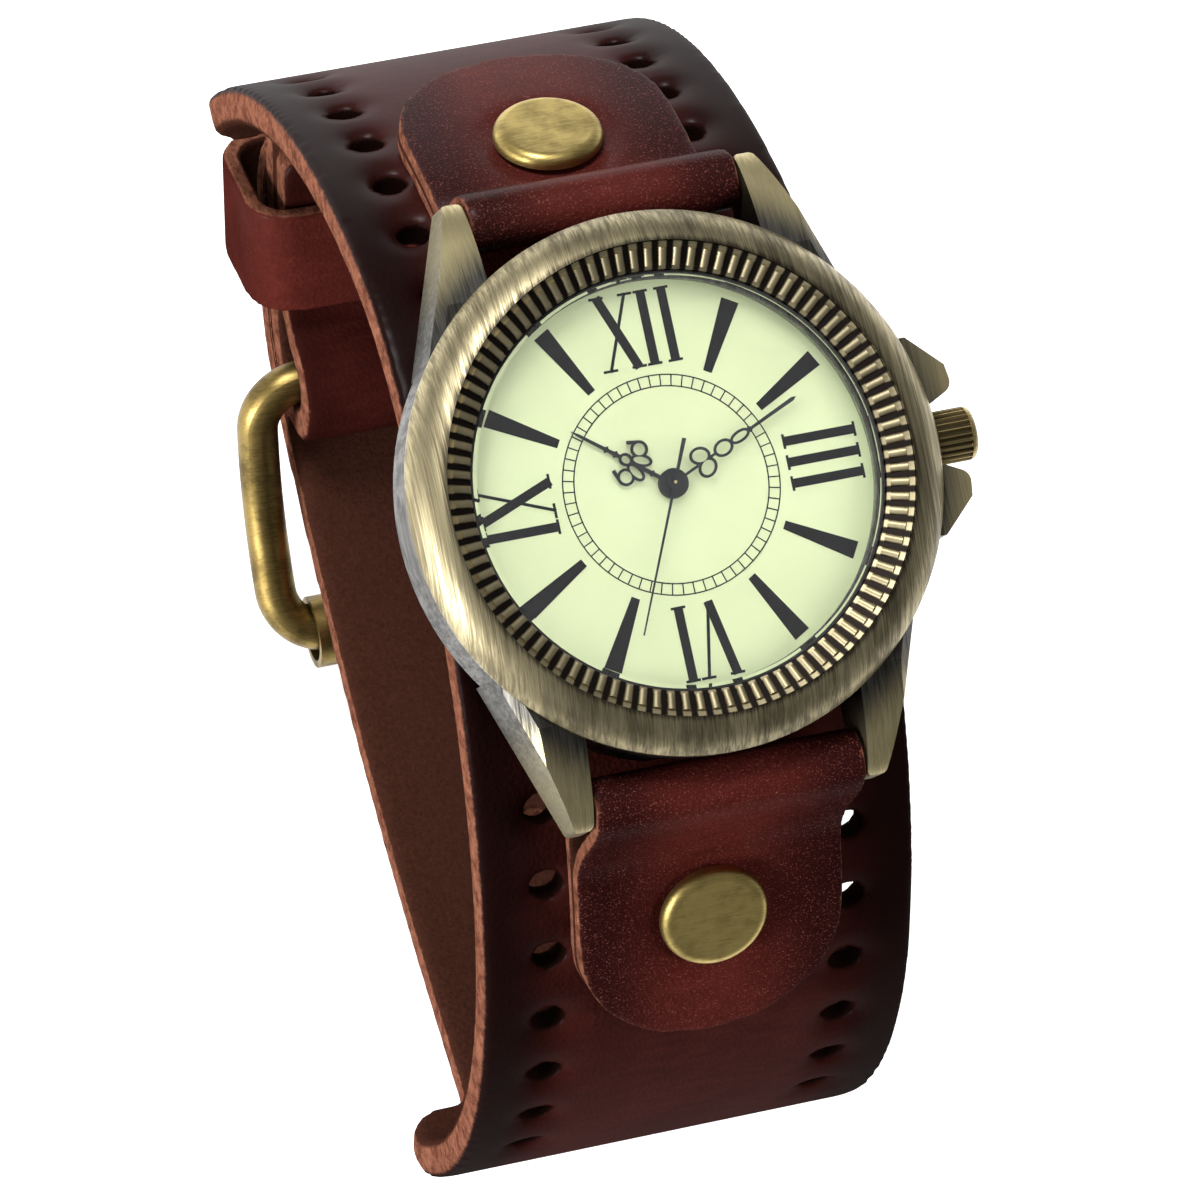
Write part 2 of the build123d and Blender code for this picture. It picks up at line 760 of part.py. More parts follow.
with BuildPart() as intermediate_wheel:
    place = intermediate_place
    pinion_low = second_wheel_level - part_gap
    pinion_high = second_wheel_level + wheel_thickness + part_gap
    disc(arbor_diameter, intermediate_wheel_level, pinion_high, place)
    disc(pivot_diameter, pivot_low, pivot_high, place)
    wheel_low = intermediate_wheel_level
    wheel_high = wheel_low + wheel_thickness
    toothed_wheel(intermediate_wheel_teeth, rotor_module, wheel_low, wheel_high, place, intermediate_phase)
    toothed_wheel(intermediate_pinion_teeth, step_module, pinion_low, pinion_high, place)
write(intermediate_wheel, "intermediate_wheel")

magnet_high = plate_bottom - level_step
magnet_low = magnet_high - rotor_magnet_height
with BuildPart() as rotor:
    disc(pivot_diameter, pivot_low, pivot_high, rotor_place)
    disc(rotor_magnet_diameter, magnet_low, magnet_high, rotor_place)
    pinion_high = intermediate_wheel_level + wheel_thickness + part_gap
    pinion_low = intermediate_wheel_level - part_gap
    toothed_wheel(rotor_pinion_teeth, rotor_module, pinion_low, pinion_high, rotor_place)
write(rotor, "rotor")


# Motor

stator_high = (magnet_low + magnet_high) / 2 + stator_thickness / 2
stator_low = stator_high - stator_thickness
coil_place = (rotor_place[0] + coil_shift, rotor_place[1] + coil_offset)
stator_hole = rotor_magnet_diameter + 2 * stator_bore_gap
stator_middle = coil_place[0]
stator_arm_reach = coil_length / 2 + coil_core_overhang / 2

with BuildPart() as stator:
    with BuildSketch(Plane.XY.offset(stator_low)):
        with Locations((stator_middle, rotor_place[1])):
            Rectangle(stator_length, stator_width)
        with Locations(rotor_place):
            Circle(stator_hole / 2 + stator_width / 3)
        for side in (-1, 1):
            with Locations((stator_middle + side * stator_arm_reach, (rotor_place[1] + coil_place[1]) / 2)):
                Rectangle(coil_core_overhang, coil_offset + coil_core_width)
        with Locations(rotor_place):
            Circle(stator_hole / 2, mode=Mode.SUBTRACT)
    extrude(amount=stator_thickness)
    for side in (-1, 1):
        screw_place = (stator_middle + side * stator_arm_reach, rotor_place[1])
        disc(coil_core_overhang / 2, stator_high, plate_bottom, screw_place)
write(stator, "stator")

core_high = stator_low - part_gap / 2
core_low = core_high - coil_core_thickness
with BuildPart() as coil:
    with BuildSketch(Plane.YZ.offset(coil_place[0] - coil_length / 2)):
        with Locations((coil_place[1], (core_low + core_high) / 2)):
            Circle(coil_diameter / 2)
    extrude(amount=coil_length)
    with BuildSketch(Plane.XY.offset(core_low)):
        with Locations(coil_place):
            Rectangle(coil_length + 2 * coil_core_overhang, coil_core_width)
    extrude(amount=coil_core_thickness)
write(coil, "coil")

battery_place = polar(battery_reach, battery_bearing)
battery_high = plate_bottom - part_gap
battery_low = battery_high - battery_height
with BuildPart() as battery:
    disc(battery_diameter, battery_low + battery_height / 6, battery_high, battery_place)
    disc(battery_diameter - battery_height / 3, battery_low, battery_low + battery_height / 5, battery_place)
    fillet(battery.edges().group_by(Axis.Z)[-1], radius=battery_height / 12)
write(battery, "battery")

clip_low = battery_low - part_gap / 2 - clip_thickness
clip_post_reach = battery_diameter / 2 + clip_width / 2
with BuildPart() as battery_clip:
    with BuildSketch(Plane.XY.offset(clip_low)):
        with Locations(Location((battery_place[0], battery_place[1], 0), (0, 0, clip_bearing))):
            SlotCenterToCenter(2 * clip_post_reach, clip_width)
    extrude(amount=clip_thickness)
    for side in (-1, 1):
        post = away(battery_place, side * clip_post_reach, clip_bearing)
        disc(clip_width / 2, clip_low, plate_bottom, post)
write(battery_clip, "battery_clip")

board_high = plate_bottom - part_gap / 2
board_low = board_high - board_thickness
with BuildPart() as circuit_board:
    with BuildSketch(Plane.XY.offset(board_low)):
        Circle(board_radius)
        with Locations((0, board_radius - board_edge)):
            Rectangle(2 * board_radius + cut_overrun, 2 * board_radius, mode=Mode.SUBTRACT)
    extrude(amount=board_thickness)
    with BuildSketch(Plane.XY.offset(board_low - chip_height)):
        with Locations((chip_size, -(board_edge + chip_size))):
            Rectangle(chip_size, chip_size)
    extrude(amount=chip_height)
write(circuit_board, "circuit_board")

with BuildPart() as quartz_can:
    can_level = board_low - part_gap / 2 - quartz_can_diameter / 2
    with BuildSketch(Plane.YZ.offset(-(chip_size + quartz_can_length))):
        with Locations((-(board_edge + chip_size), can_level)):
            Circle(quartz_can_diameter / 2)
    extrude(amount=quartz_can_length)
write(quartz_can, "quartz_can")


# Plate and bridge of the movement

bridge_places = [(0, 0), third_place, intermediate_place, rotor_place]
bridge_feet = [polar(bridge_near_reach, bearing) for bearing in bridge_near_bearings]
bridge_feet.append(polar(bridge_far_reach, bridge_far_bearing))
with BuildPart() as train_bridge:
    with BuildSketch(Plane.XY.offset(bridge_bottom)):
        with BuildLine():
            Polyline(bridge_feet[0], bridge_feet[1], rotor_place, bridge_feet[2], third_place, close=True)
        make_face()
        for place in bridge_places + bridge_feet:
            with Locations(place):
                Circle(bridge_foot_diameter)
    extrude(amount=bridge_thickness)
    for place in bridge_feet:
        disc(bridge_foot_diameter, bridge_top, plate_bottom, place)
    for place in bridge_places:
        disc(pivot_hole, bridge_bottom - cut_overrun, bridge_top + part_gap, place, mode=Mode.SUBTRACT)
write(train_bridge, "train_bridge")

groove_place = clutch_position + clutch_length / 2 + crown_pull + 2 * stem_groove_width
lever_pivot = (groove_place, -lever_reach)
lever_high = stem_level - stem_diameter / 2 - part_gap * 2
lever_low = lever_high - lever_thickness
lever_post_diameter = lever_pin_diameter + stem_groove_width / 3
stem_channel = stem_diameter + 4 * part_gap
clutch_room = clutch_diameter + 4 * part_gap

with BuildPart() as main_plate:
    disc(plate_diameter, plate_bottom, plate_top)
    ring(plate_diameter, plate_diameter - 2 * plate_rim_wall, bridge_bottom, dial_underside - part_gap)
    disc(pivot_diameter, plate_top, minute_pinion_high, minute_place)
    disc(lever_post_diameter, lever_low - lever_thickness / 2, plate_bottom, lever_pivot)
    centre_hole = cannon_diameter + 2 * shaft_gap
    disc(centre_hole, plate_bottom - cut_overrun, plate_top + cut_overrun / 10, mode=Mode.SUBTRACT)
    for place in (third_place, intermediate_place, rotor_place):
        disc(pivot_hole, plate_bottom - part_gap, pivot_high + part_gap, place, mode=Mode.SUBTRACT)
    for foot in dial_feet:
        hole_low = plate_top - plate_thickness / 2 - part_gap
        disc(foot_diameter + 2 * part_gap, hole_low, plate_top + part_gap, foot, mode=Mode.SUBTRACT)
    # Channel for the stem and room for the clutch wheel
    with BuildSketch(Plane.YZ.offset(stem_inner_end - crown_pull / 2)):
        with Locations((0, stem_level)):
            Circle(stem_channel / 2)
    extrude(amount=plate_diameter / 2, mode=Mode.SUBTRACT)
    with BuildSketch(Plane.YZ.offset(clutch_position - clutch_length / 2 - part_gap * 2)):
        with Locations((0, stem_level)):
            Circle(clutch_room / 2)
    extrude(amount=clutch_length + 4 * part_gap, mode=Mode.SUBTRACT)
write(main_plate, "main_plate")


# Crown, stem and setting lever

cavity_end = crown_start + crown_cavity_depth

with BuildPart() as winding_stem:
    with BuildSketch(Plane.YZ.offset(clutch_position + clutch_length / 2 + part_gap)):
        with Locations((0, stem_level)):
            Circle(stem_diameter / 2)
    extrude(amount=cavity_end + crown_pull - clutch_position - clutch_length / 2 - part_gap)
    with BuildSketch(Plane.YZ.offset(stem_inner_end)):
        with Locations((0, stem_level)):
            Rectangle(stem_square, stem_square)
    extrude(amount=clutch_position + clutch_length - stem_inner_end)
    with BuildSketch(Plane.YZ.offset(groove_place - stem_groove_width / 2)):
        with Locations((0, stem_level)):
            Circle(stem_diameter)
            Circle(stem_groove_diameter / 2, mode=Mode.SUBTRACT)
    extrude(amount=stem_groove_width, mode=Mode.SUBTRACT)
write(winding_stem, "winding_stem")

with BuildPart() as clutch_wheel:
    with BuildSketch(Plane.YZ.offset(clutch_position - clutch_length / 2)):
        with Locations((0, stem_level)):
            Circle(clutch_diameter / 2 - clutch_diameter / 10)
            with PolarLocations(clutch_diameter / 2 - clutch_diameter / 10, clutch_teeth):
                Rectangle(clutch_diameter / 5, clutch_diameter / 10)
            Rectangle(stem_square + 2 * shaft_gap, stem_square + 2 * shaft_gap, mode=Mode.SUBTRACT)
    extrude(amount=clutch_length)
write(clutch_wheel, "clutch_wheel")

with BuildPart() as setting_lever:
    with BuildSketch(Plane.XY.offset(lever_low)):
        with Locations(Location((groove_place, lever_pivot[1] / 2, 0), (0, 0, 90))):
            SlotCenterToCenter(lever_reach, lever_width)
        with Locations(lever_pivot):
            Circle(lever_width * 2 / 3)
            Circle(lever_post_diameter / 2 + shaft_gap, mode=Mode.SUBTRACT)
    extrude(amount=lever_thickness)
    disc(lever_pin_diameter, lever_high, stem_level - stem_groove_diameter / 2 - part_gap, (groove_place, 0))
write(setting_lever, "setting_lever")

with BuildPart() as crown_tube:
    with BuildSketch(Plane.YZ.offset(case_radius - crown_tube_inset)):
        with Locations((0, stem_level)):
            Circle(crown_tube_diameter / 2)
            Circle(crown_tube_bore / 2, mode=Mode.SUBTRACT)
    extrude(amount=crown_tube_inset + crown_tube_projection)
write(crown_tube, "crown_tube")

with BuildPart() as crown:
    with BuildSketch(Plane.YZ.offset(crown_start)):
        with Locations((0, stem_level)):
            Circle(crown_diameter / 2)
    extrude(amount=crown_length)
    fillet(crown.edges().group_by(Axis.X)[-1], radius=crown_rounding)
    chamfer(crown.edges().group_by(Axis.X)[0], length=crown_inner_bevel)
    with BuildSketch(Plane.YZ.offset(crown_start - cut_overrun)):
        with Locations((0, stem_level)):
            with PolarLocations(crown_diameter / 2, crown_flutes):
                Circle(crown_flute_depth)
    extrude(amount=crown_length + cut_overrun - crown_rounding, mode=Mode.SUBTRACT)
    with BuildSketch(Plane.YZ.offset(crown_start - cut_overrun)):
        with Locations((0, stem_level)):
            Circle(crown_cavity_diameter / 2)
    extrude(amount=crown_cavity_depth + cut_overrun, mode=Mode.SUBTRACT)
    with BuildSketch(Plane.YZ.offset(cavity_end - part_gap)):
        with Locations((0, stem_level)):
            Circle(stem_diameter / 2)
    extrude(amount=crown_pull + part_gap, mode=Mode.SUBTRACT)
write(crown, "crown")

with BuildPart() as crown_gasket:
    with BuildSketch(Plane.YZ.offset(crown_start + part_gap * 2)):
        with Locations((0, stem_level)):
            Circle(crown_cavity_diameter / 2 - shaft_gap)
            Circle(crown_tube_diameter / 2 + shaft_gap, mode=Mode.SUBTRACT)
    extrude(amount=crown_gasket_width)
write(crown_gasket, "crown_gasket")


# Hands, drawn along their own +Y and turned to the time

def loop(across, along, half_width, half_length, turn=0.0):
    """A closed wire loop in the sketch being built."""
    with Locations(Location((across, along, 0), (0, 0, turn))):
        Ellipse(half_width + hand_line / 2, half_length + hand_line / 2)


def loop_hole(across, along, half_width, half_length, turn=0.0):
    with Locations(Location((across, along, 0), (0, 0, turn))):
        Ellipse(half_width - hand_line / 2, half_length - hand_line / 2, mode=Mode.SUBTRACT)


def boss(low, high, hole):
    disc(hand_boss_diameter, low, high)
    disc(hole, low - cut_overrun, high + cut_overrun, mode=Mode.SUBTRACT)


def hand_plane(low, angle):
    return Plane.XY.offset(low).rotated((0, 0, -angle))


def sized_loop(hand_length, shares, side, turn):
    """A loop's across, along, half width and half length from its shares, on one side of the hand."""
    across, along, half_width, half_length = (share * hand_length for share in shares)
    return (side * across, along, half_width, half_length, side * turn)


hour_loops = [
    sized_loop(hour_hand_length, shares, side, turn)
    for shares, turn in zip(hour_loop_shares, hour_loop_turns)
    for side in (1, -1)
]
barb_foot, barb_head = hour_barb_shares

with BuildPart() as hour_hand:
    with BuildSketch(hand_plane(hour_hand_low, hour_hand_angle)):
        with Locations((0, hour_hand_length * hour_needle_share / 2)):
            Rectangle(hand_needle_width, hour_hand_length * hour_needle_share)
        for loop_values in hour_loops:
            loop(*loop_values)
        for side in (1, -1):
            foot = (side * hour_hand_length * barb_foot[0], hour_hand_length * barb_foot[1])
            head = (side * hour_hand_length * barb_head[0], hour_hand_length * barb_head[1])
            stroke(foot, head, hand_line * barb_width_share)
        for along_share, width_share in hour_bead_shares:
            with Locations(Location((0, hour_hand_length * along_share, 0), (0, 0, 45))):
                bead = width_share * hand_needle_width + hand_line
                Rectangle(bead, bead)
        with BuildLine():
            Polyline(
                (-hand_needle_width / 2, hour_hand_length * hour_blade_shares[0]),
                (hand_needle_width / 2, hour_hand_length * hour_blade_shares[0]),
                (hand_needle_width / 3, hour_hand_length * hour_blade_shares[1]),
                (0, hour_hand_length),
                (-hand_needle_width / 3, hour_hand_length * hour_blade_shares[1]),
                close=True,
            )
        make_face()
        for loop_values in hour_loops:
            loop_hole(*loop_values)
        with Locations((0, hour_hand_length * hour_window_shares[0])):
            Rectangle(hand_line, hour_hand_length * hour_window_shares[1])
    extrude(amount=hand_thickness)
    boss(hour_hand_low, hour_hand_low + hand_thickness, hour_pipe_diameter)
write(hour_hand, "hour_hand")

minute_loops = [sized_loop(minute_hand_length, shares, 1, 0.0) for shares in minute_loop_shares]
heart_lobes = [sized_loop(minute_hand_length, heart_lobe_shares, side, heart_turn) for side in (1, -1)]
neck_foot, neck_low, neck_high = (minute_hand_length * share for share in minute_neck_shares)
blade_low, blade_high = (minute_hand_length * share for share in minute_blade_shares)
blade_foot_half, blade_head_half = (hand_line * share for share in blade_width_shares)

with BuildPart() as minute_hand:
    with BuildSketch(hand_plane(minute_hand_low, minute_hand_angle)):
        for loop_values in heart_lobes:
            loop(*loop_values)
        for loop_values in minute_loops:
            loop(*loop_values)
        for loop_values in heart_lobes:
            loop_hole(*loop_values)
        for loop_values in minute_loops:
            loop_hole(*loop_values)
        stroke((0, hand_boss_diameter / 3), (0, neck_foot), hand_line)
        stroke((0, neck_low), (0, neck_high), hand_line)
        with Locations(Location((0, minute_hand_length * minute_bead_share, 0), (0, 0, 45))):
            Rectangle(hand_line * 2, hand_line * 2)
        with BuildLine():
            Polyline(
                (-blade_foot_half, blade_low),
                (blade_foot_half, blade_low),
                (blade_head_half, blade_high),
                (0, minute_hand_length),
                (-blade_head_half, blade_high),
                close=True,
            )
        make_face()
    extrude(amount=hand_thickness)
    boss(minute_hand_low, minute_hand_low + hand_thickness, cannon_diameter)
write(minute_hand, "minute_hand")

with BuildPart() as second_hand:
    with BuildSketch(hand_plane(second_hand_low, second_hand_angle)):
        with BuildLine():
            Polyline(
                (-hand_needle_width / 2, -second_hand_tail),
                (hand_needle_width / 2, -second_hand_tail),
                (hand_needle_width / 3, 0),
                (hand_line / 4, second_hand_length),
                (-hand_line / 4, second_hand_length),
                (-hand_needle_width / 3, 0),
                close=True,
            )
        make_face()
        Circle(hand_boss_diameter / 4)
        Circle(second_arbor_diameter / 2, mode=Mode.SUBTRACT)
    extrude(amount=hand_thickness)
write(second_hand, "second_hand")


# Leather paths

class LeatherPath:
    """A line of straight runs and tangent bends in one plane, as (outward, upward) places.

    A heading of 0 points outward, away from the watch's axis, and 90 points down. A bend is a straight
    run, a radius and a turn in degrees, which is negative where the leather bends the other way.
    """

    def __init__(self, start, bends):
        self.pieces = []
        here = start
        heading = 0.0
        begin = 0.0
        for run, radius, turn in bends:
            if run > 0:
                self.pieces.append((begin, run, here, heading, 0.0, 0.0))
                here = (here[0] + run * cos(radians(heading)), here[1] - run * sin(radians(heading)))
                begin = begin + run
            if turn:
                signed = radius if turn > 0 else -radius
                arc_length = radius * radians(abs(turn))
                self.pieces.append((begin, arc_length, here, heading, signed, turn))
                middle = self.normal_step(here, heading, -signed)
                heading = heading + turn
                here = self.normal_step(middle, heading, signed)
                begin = begin + arc_length
        self.length = begin
        self.end = here
        self.end_heading = heading

    @staticmethod
    def normal_step(place, heading, distance):
        return (place[0] + distance * sin(radians(heading)), place[1] + distance * cos(radians(heading)))

    def heading_at(self, length):
        for begin, run, here, heading, signed, turn in self.pieces:
            if length <= begin + run:
                return heading + turn * (length - begin) / run
        return self.end_heading

    def at(self, length, shift=0.0):
        """The place at a length along the middle line, shifted outward from it."""
        for begin, run, here, heading, signed, turn in self.pieces:
            if length <= begin + run or begin + run >= self.length:
                share = (length - begin) / run
                if turn:
                    middle = self.normal_step(here, heading, -signed)
                    now = heading + turn * share
                    return self.normal_step(middle, now, signed + shift)
                ahead = (length - begin) * cos(radians(heading)), -(length - begin) * sin(radians(heading))
                return self.normal_step((here[0] + ahead[0], here[1] + ahead[1]), heading, shift)

    def draw(self, shift, first, last):
        """The line at one shift, from one length to another, in the line being built."""
        for begin, run, here, heading, signed, turn in self.pieces:
            low = max(first, begin)
            high = min(last, begin + run)
            if high - low > part_gap / 100:
                if turn:
                    ThreePointArc(self.at(low, shift), self.at((low + high) / 2, shift), self.at(high, shift))
                else:
                    Line(self.at(low, shift), self.at(high, shift))


def draw_band(path, first, last, inner, outer):
    """The cut edge of a leather band between two shifts, as a face in the sketch being built."""
    with BuildLine() as outline:
        path.draw(inner, first, last)
        path.draw(outer, first, last)
        Line(path.at(first, inner), path.at(first, outer))
        Line(path.at(last, inner), path.at(last, outer))
    make_face(outline.edges())


half_leather = leather / 2
cuff_start = (0.0, back_outside - cuff_gap - half_leather)
wire_radius = buckle_wire / 2
wrap_radius = wire_radius + wrap_gap + half_leather
layer_step = leather + layer_gap

front_bends = [(0, radius, turn) for radius, turn in zip(upper_radii, upper_turns)]
crest_bend = (0, upper_crest_radius, upper_crest_turn)
upper_main_bends = front_bends + [crest_bend, (upper_run, buckle_bend_radius, buckle_bend_turn)]
upper_main = LeatherPath(cuff_start, upper_main_bends)
bar_heading = upper_main.end_heading
buckle_bar = LeatherPath.normal_step(upper_main.end, bar_heading, -wrap_radius)
crest_length = sum(radius * radians(turn) for run, radius, turn in front_bends + [crest_bend])
run_heading = bar_heading - buckle_bend_turn

# After its turn round the buckle's bar the strap's end lies back along the strap's inner face
wrap_turn = 180 + flap_extra_turn
flap_turn = -(buckle_bend_turn + flap_extra_turn)
wrap_bend = (0, wrap_radius, wrap_turn)
wrapped = LeatherPath(cuff_start, upper_main_bends + [wrap_bend, (0, flap_bend_radius, flap_turn)])
run_start = upper_main.at(crest_length)
run_normal = (sin(radians(run_heading)), cos(radians(run_heading)))
offset_now = (run_start[0] - wrapped.end[0]) * run_normal[0] + (run_start[1] - wrapped.end[1]) * run_normal[1]
leave_heading = radians(bar_heading + wrap_turn)
approach = cos(leave_heading) * run_normal[0] - sin(leave_heading) * run_normal[1]
flap_bridge = (offset_now - layer_step) / approach
flap_end = upper_main.at(crest_length + layer_gap, -layer_step)
wrapped_bends = upper_main_bends + [wrap_bend, (flap_bridge, flap_bend_radius, flap_turn)]
wrapped = LeatherPath(cuff_start, wrapped_bends)
flap_run = hypot(flap_end[0] - wrapped.end[0], flap_end[1] - wrapped.end[1])
upper_path = LeatherPath(cuff_start, wrapped_bends + [(flap_run, 0, 0)])

lower_bends = [(0, radius, turn) for radius, turn in zip(lower_radii, lower_turns)]
lower_bends.append((0, lower_crest_radius, lower_crest_turn))
lower_bends.append((lower_run, lower_back_radius, lower_back_turn))
lower_path = LeatherPath(cuff_start, lower_bends)
lower_plane = Plane(origin=(0, 0, 0), x_dir=(0, -1, 0), z_dir=(-1, 0, 0))
upper_shoulder = crest_length - upper_crest_radius * radians(upper_crest_turn) + upper_shoulder_step
lower_shoulder = sum(radius * radians(turn) for run, radius, turn in lower_bends[:4]) + lower_shoulder_step


def surface_plane(side, path, length, shift):
    """A plane on the leather: its normal points out of the cuff and its x axis along the watch's +X."""
    out, up = path.at(length, shift)
    turned = radians(path.heading_at(length))
    return Plane(origin=(0, side * out, up), x_dir=(1, 0, 0), z_dir=(0, side * sin(turned), cos(turned)))


def on_leather(side, path, length, across):
    """A place on the middle of the leather, for a tool that stands square to it."""
    plane = surface_plane(side, path, length, 0)
    return plane.shift_origin(plane.from_local_coords((across, 0, 0))).location


sides = (
    (1, upper_path, Plane.YZ, upper_shoulder, upper_punch_start),
    (-1, lower_path, lower_plane, lower_shoulder, lower_punch_start),
)

# Places along the tail: it lies on the outside of the strap, past the buckle's bar and through the keeper
tail_shift = layer_step
tail_end_length = crest_length
bar_length = upper_main.length
lower_end = lower_path.end
lower_back_heading = lower_path.end_heading


def tail_bridge(shift):
    """The tail's smooth line from the lower side of the cuff to the outside of the buckle's bar."""
    first = LeatherPath.normal_step(lower_end, lower_back_heading, shift)
    last = upper_main.at(bar_length, tail_shift + shift)
    first_turn = radians(lower_back_heading)
    last_turn = radians(bar_heading)
    start = (-first[0], first[1])
    start_handle = (start[0] - join_handle * cos(first_turn), start[1] - join_handle * sin(first_turn))
    end_handle = (last[0] + join_handle * cos(last_turn), last[1] - join_handle * sin(last_turn))
    Bezier(start, start_handle, end_handle, last)
    return start, last


def bridge_height(across_y):
    """The height of the tail's middle line at a place between the lower side and the buckle's bar."""
    first = (-lower_end[0], lower_end[1])
    last = upper_main.at(bar_length, tail_shift)
    first_turn = radians(lower_back_heading)
    last_turn = radians(bar_heading)
    controls = (
        first,
        (first[0] - join_handle * cos(first_turn), first[1] - join_handle * sin(first_turn)),
        (last[0] + join_handle * cos(last_turn), last[1] - join_handle * sin(last_turn)),
        last,
    )
    low, high = 0.0, 1.0
    for halving in range(40):
        share = (low + high) / 2
        weights = ((1 - share) ** 3, 3 * share * (1 - share) ** 2, 3 * share**2 * (1 - share), share**3)
        y = sum(weight * control[0] for weight, control in zip(weights, controls))
        z = sum(weight * control[1] for weight, control in zip(weights, controls))
        if y < across_y:
            low = share
        else:
            high = share
    return z


prong_turn_y = buckle_bar[0] - prong_crank_reach
prong_hole_y = prong_turn_y - prong_crank_step / 2

with BuildPart() as cuff_band:
    for side, path, plane, shoulder, punch_start in sides:
        with BuildSketch(plane):
            draw_band(path, 0, shoulder, -half_leather, half_leather)
        extrude(amount=cuff_width / 2, both=True)
    corners = cuff_band.edges().filter_by(
        lambda edge: abs(edge.length - leather) < part_gap and abs(edge.center().X) > strap_width / 2
    )
    fillet(corners, radius=shoulder_rounding)
    # Strap end on the upper side, round the buckle's bar and back
    with BuildSketch(Plane.YZ):
        first = upper_shoulder - shoulder_rounding
        draw_band(upper_path, first, upper_path.length, -half_leather, half_leather)
    extrude(amount=strap_width / 2, both=True)
    # Tail on the lower side
    with BuildSketch(lower_plane):
        first = lower_shoulder - shoulder_rounding
        draw_band(lower_path, first, lower_path.length, -half_leather, half_leather)
    extrude(amount=strap_width / 2, both=True)
    with BuildSketch(Plane.YZ):
        with BuildLine():
            inner_start, inner_last = tail_bridge(-half_leather)
            outer_start, outer_last = tail_bridge(half_leather)
            Line(inner_start, outer_start)
            Line(inner_last, outer_last)
        make_face()
    extrude(amount=strap_width / 2, both=True)
    with BuildSketch(Plane.YZ):
        inner, outer = tail_shift - half_leather, tail_shift + half_leather
        draw_band(upper_main, tail_end_length, bar_length, inner, outer)
    extrude(amount=strap_width / 2, both=True)
    # Rounded tip of the tail
    tail_tip = upper_main.at(tail_end_length, tail_shift)
    tip_corners = cuff_band.edges().filter_by(
        lambda edge: abs(edge.length - leather) < part_gap
        and hypot(edge.center().Y - tail_tip[0], edge.center().Z - tail_tip[1]) < part_gap
    )
    fillet(tip_corners, radius=tail_rounding)
    # Two rows of punched holes
    punches = []
    for side, path, plane, shoulder, punch_start in sides:
        for step in range(punch_count):
            for across in (-punch_line, punch_line):
                punches.append(on_leather(side, path, punch_start + step * punch_pitch, across))
    with Locations(*punches):
        Cylinder(punch_diameter / 2, leather + cut_overrun, mode=Mode.SUBTRACT)
    # Rivet holes
    upper_rivet = on_leather(1, upper_path, upper_rivet_reach, 0)
    lower_rivet = on_leather(-1, lower_path, lower_rivet_reach, 0)
    with Locations(upper_rivet, lower_rivet):
        Cylinder(rivet_post_diameter / 2 + rivet_hole_gap, leather + cut_overrun, mode=Mode.SUBTRACT)
    # Slot for the prong through the fold at the buckle's bar
    slot_half = wrap_radius + half_leather
    slot_width = prong_wire + 6 * prong_gap
    with BuildSketch(Plane.YZ.offset(-slot_width / 2)):
        with Locations((buckle_bar[0] - prong_gap * 4, buckle_bar[1])):
            Rectangle(2 * slot_half + prong_gap * 8, 2 * slot_half + layer_gap)
    extrude(amount=slot_width, mode=Mode.SUBTRACT)
    # Adjusting holes in the tail, the one in use stretched by the prong
    with BuildSketch(Plane.XY.offset(bridge_height(prong_hole_y) - leather)):
        with Locations(Location((0, prong_hole_y, 0), (0, 0, 90))):
            SlotOverall(prong_slot_length, tail_hole_diameter)
    extrude(amount=2 * leather, mode=Mode.SUBTRACT)
    spare_holes = []
    for step in range(tail_hole_count):
        hole_length = lower_path.length - half_leather - step * tail_hole_pitch
        spare_holes.append(on_leather(-1, lower_path, hole_length, 0))
    with Locations(*spare_holes):
        Cylinder(tail_hole_diameter / 2, leather + cut_overrun, mode=Mode.SUBTRACT)
write(cuff_band, "cuff_band")


# Tabs: a strip of thinner leather, folded round the spring bar and riveted to the cuff

half_tab = tab_leather / 2
tab_wrap_inner = bar_diameter / 2 + part_gap
tab_wrap_outer = tab_wrap_inner + tab_leather
under_shift = half_leather + layer_gap / 2 + half_tab
over_shift = under_shift + tab_leather + layer_gap / 2
bar_place = (bar_reach, bar_level)


def bar_step(distance):
    return LeatherPath.normal_step(bar_place, tab_heading, distance)


def tab_curve(path, join, shift, distance):
    """One surface of a tab from the leather of the cuff up to the spring bar; returns its ends."""
    low = path.at(join, shift)
    turned = radians(path.heading_at(join))
    high = bar_step(distance)
    bar_turn = radians(tab_heading)
    low_handle = (low[0] - tab_handle * cos(turned), low[1] + tab_handle * sin(turned))
    high_handle = (high[0] + tab_handle * cos(bar_turn), high[1] - tab_handle * sin(bar_turn))
    Bezier(low, low_handle, high_handle, high)
    return low, high


def half_wrap(distance):
    """The half turn of the tab round the bar, on the side that faces the case."""
    facing = LeatherPath.normal_step(bar_place, tab_heading - 90, distance)
    ThreePointArc(bar_step(distance), facing, bar_step(-distance))


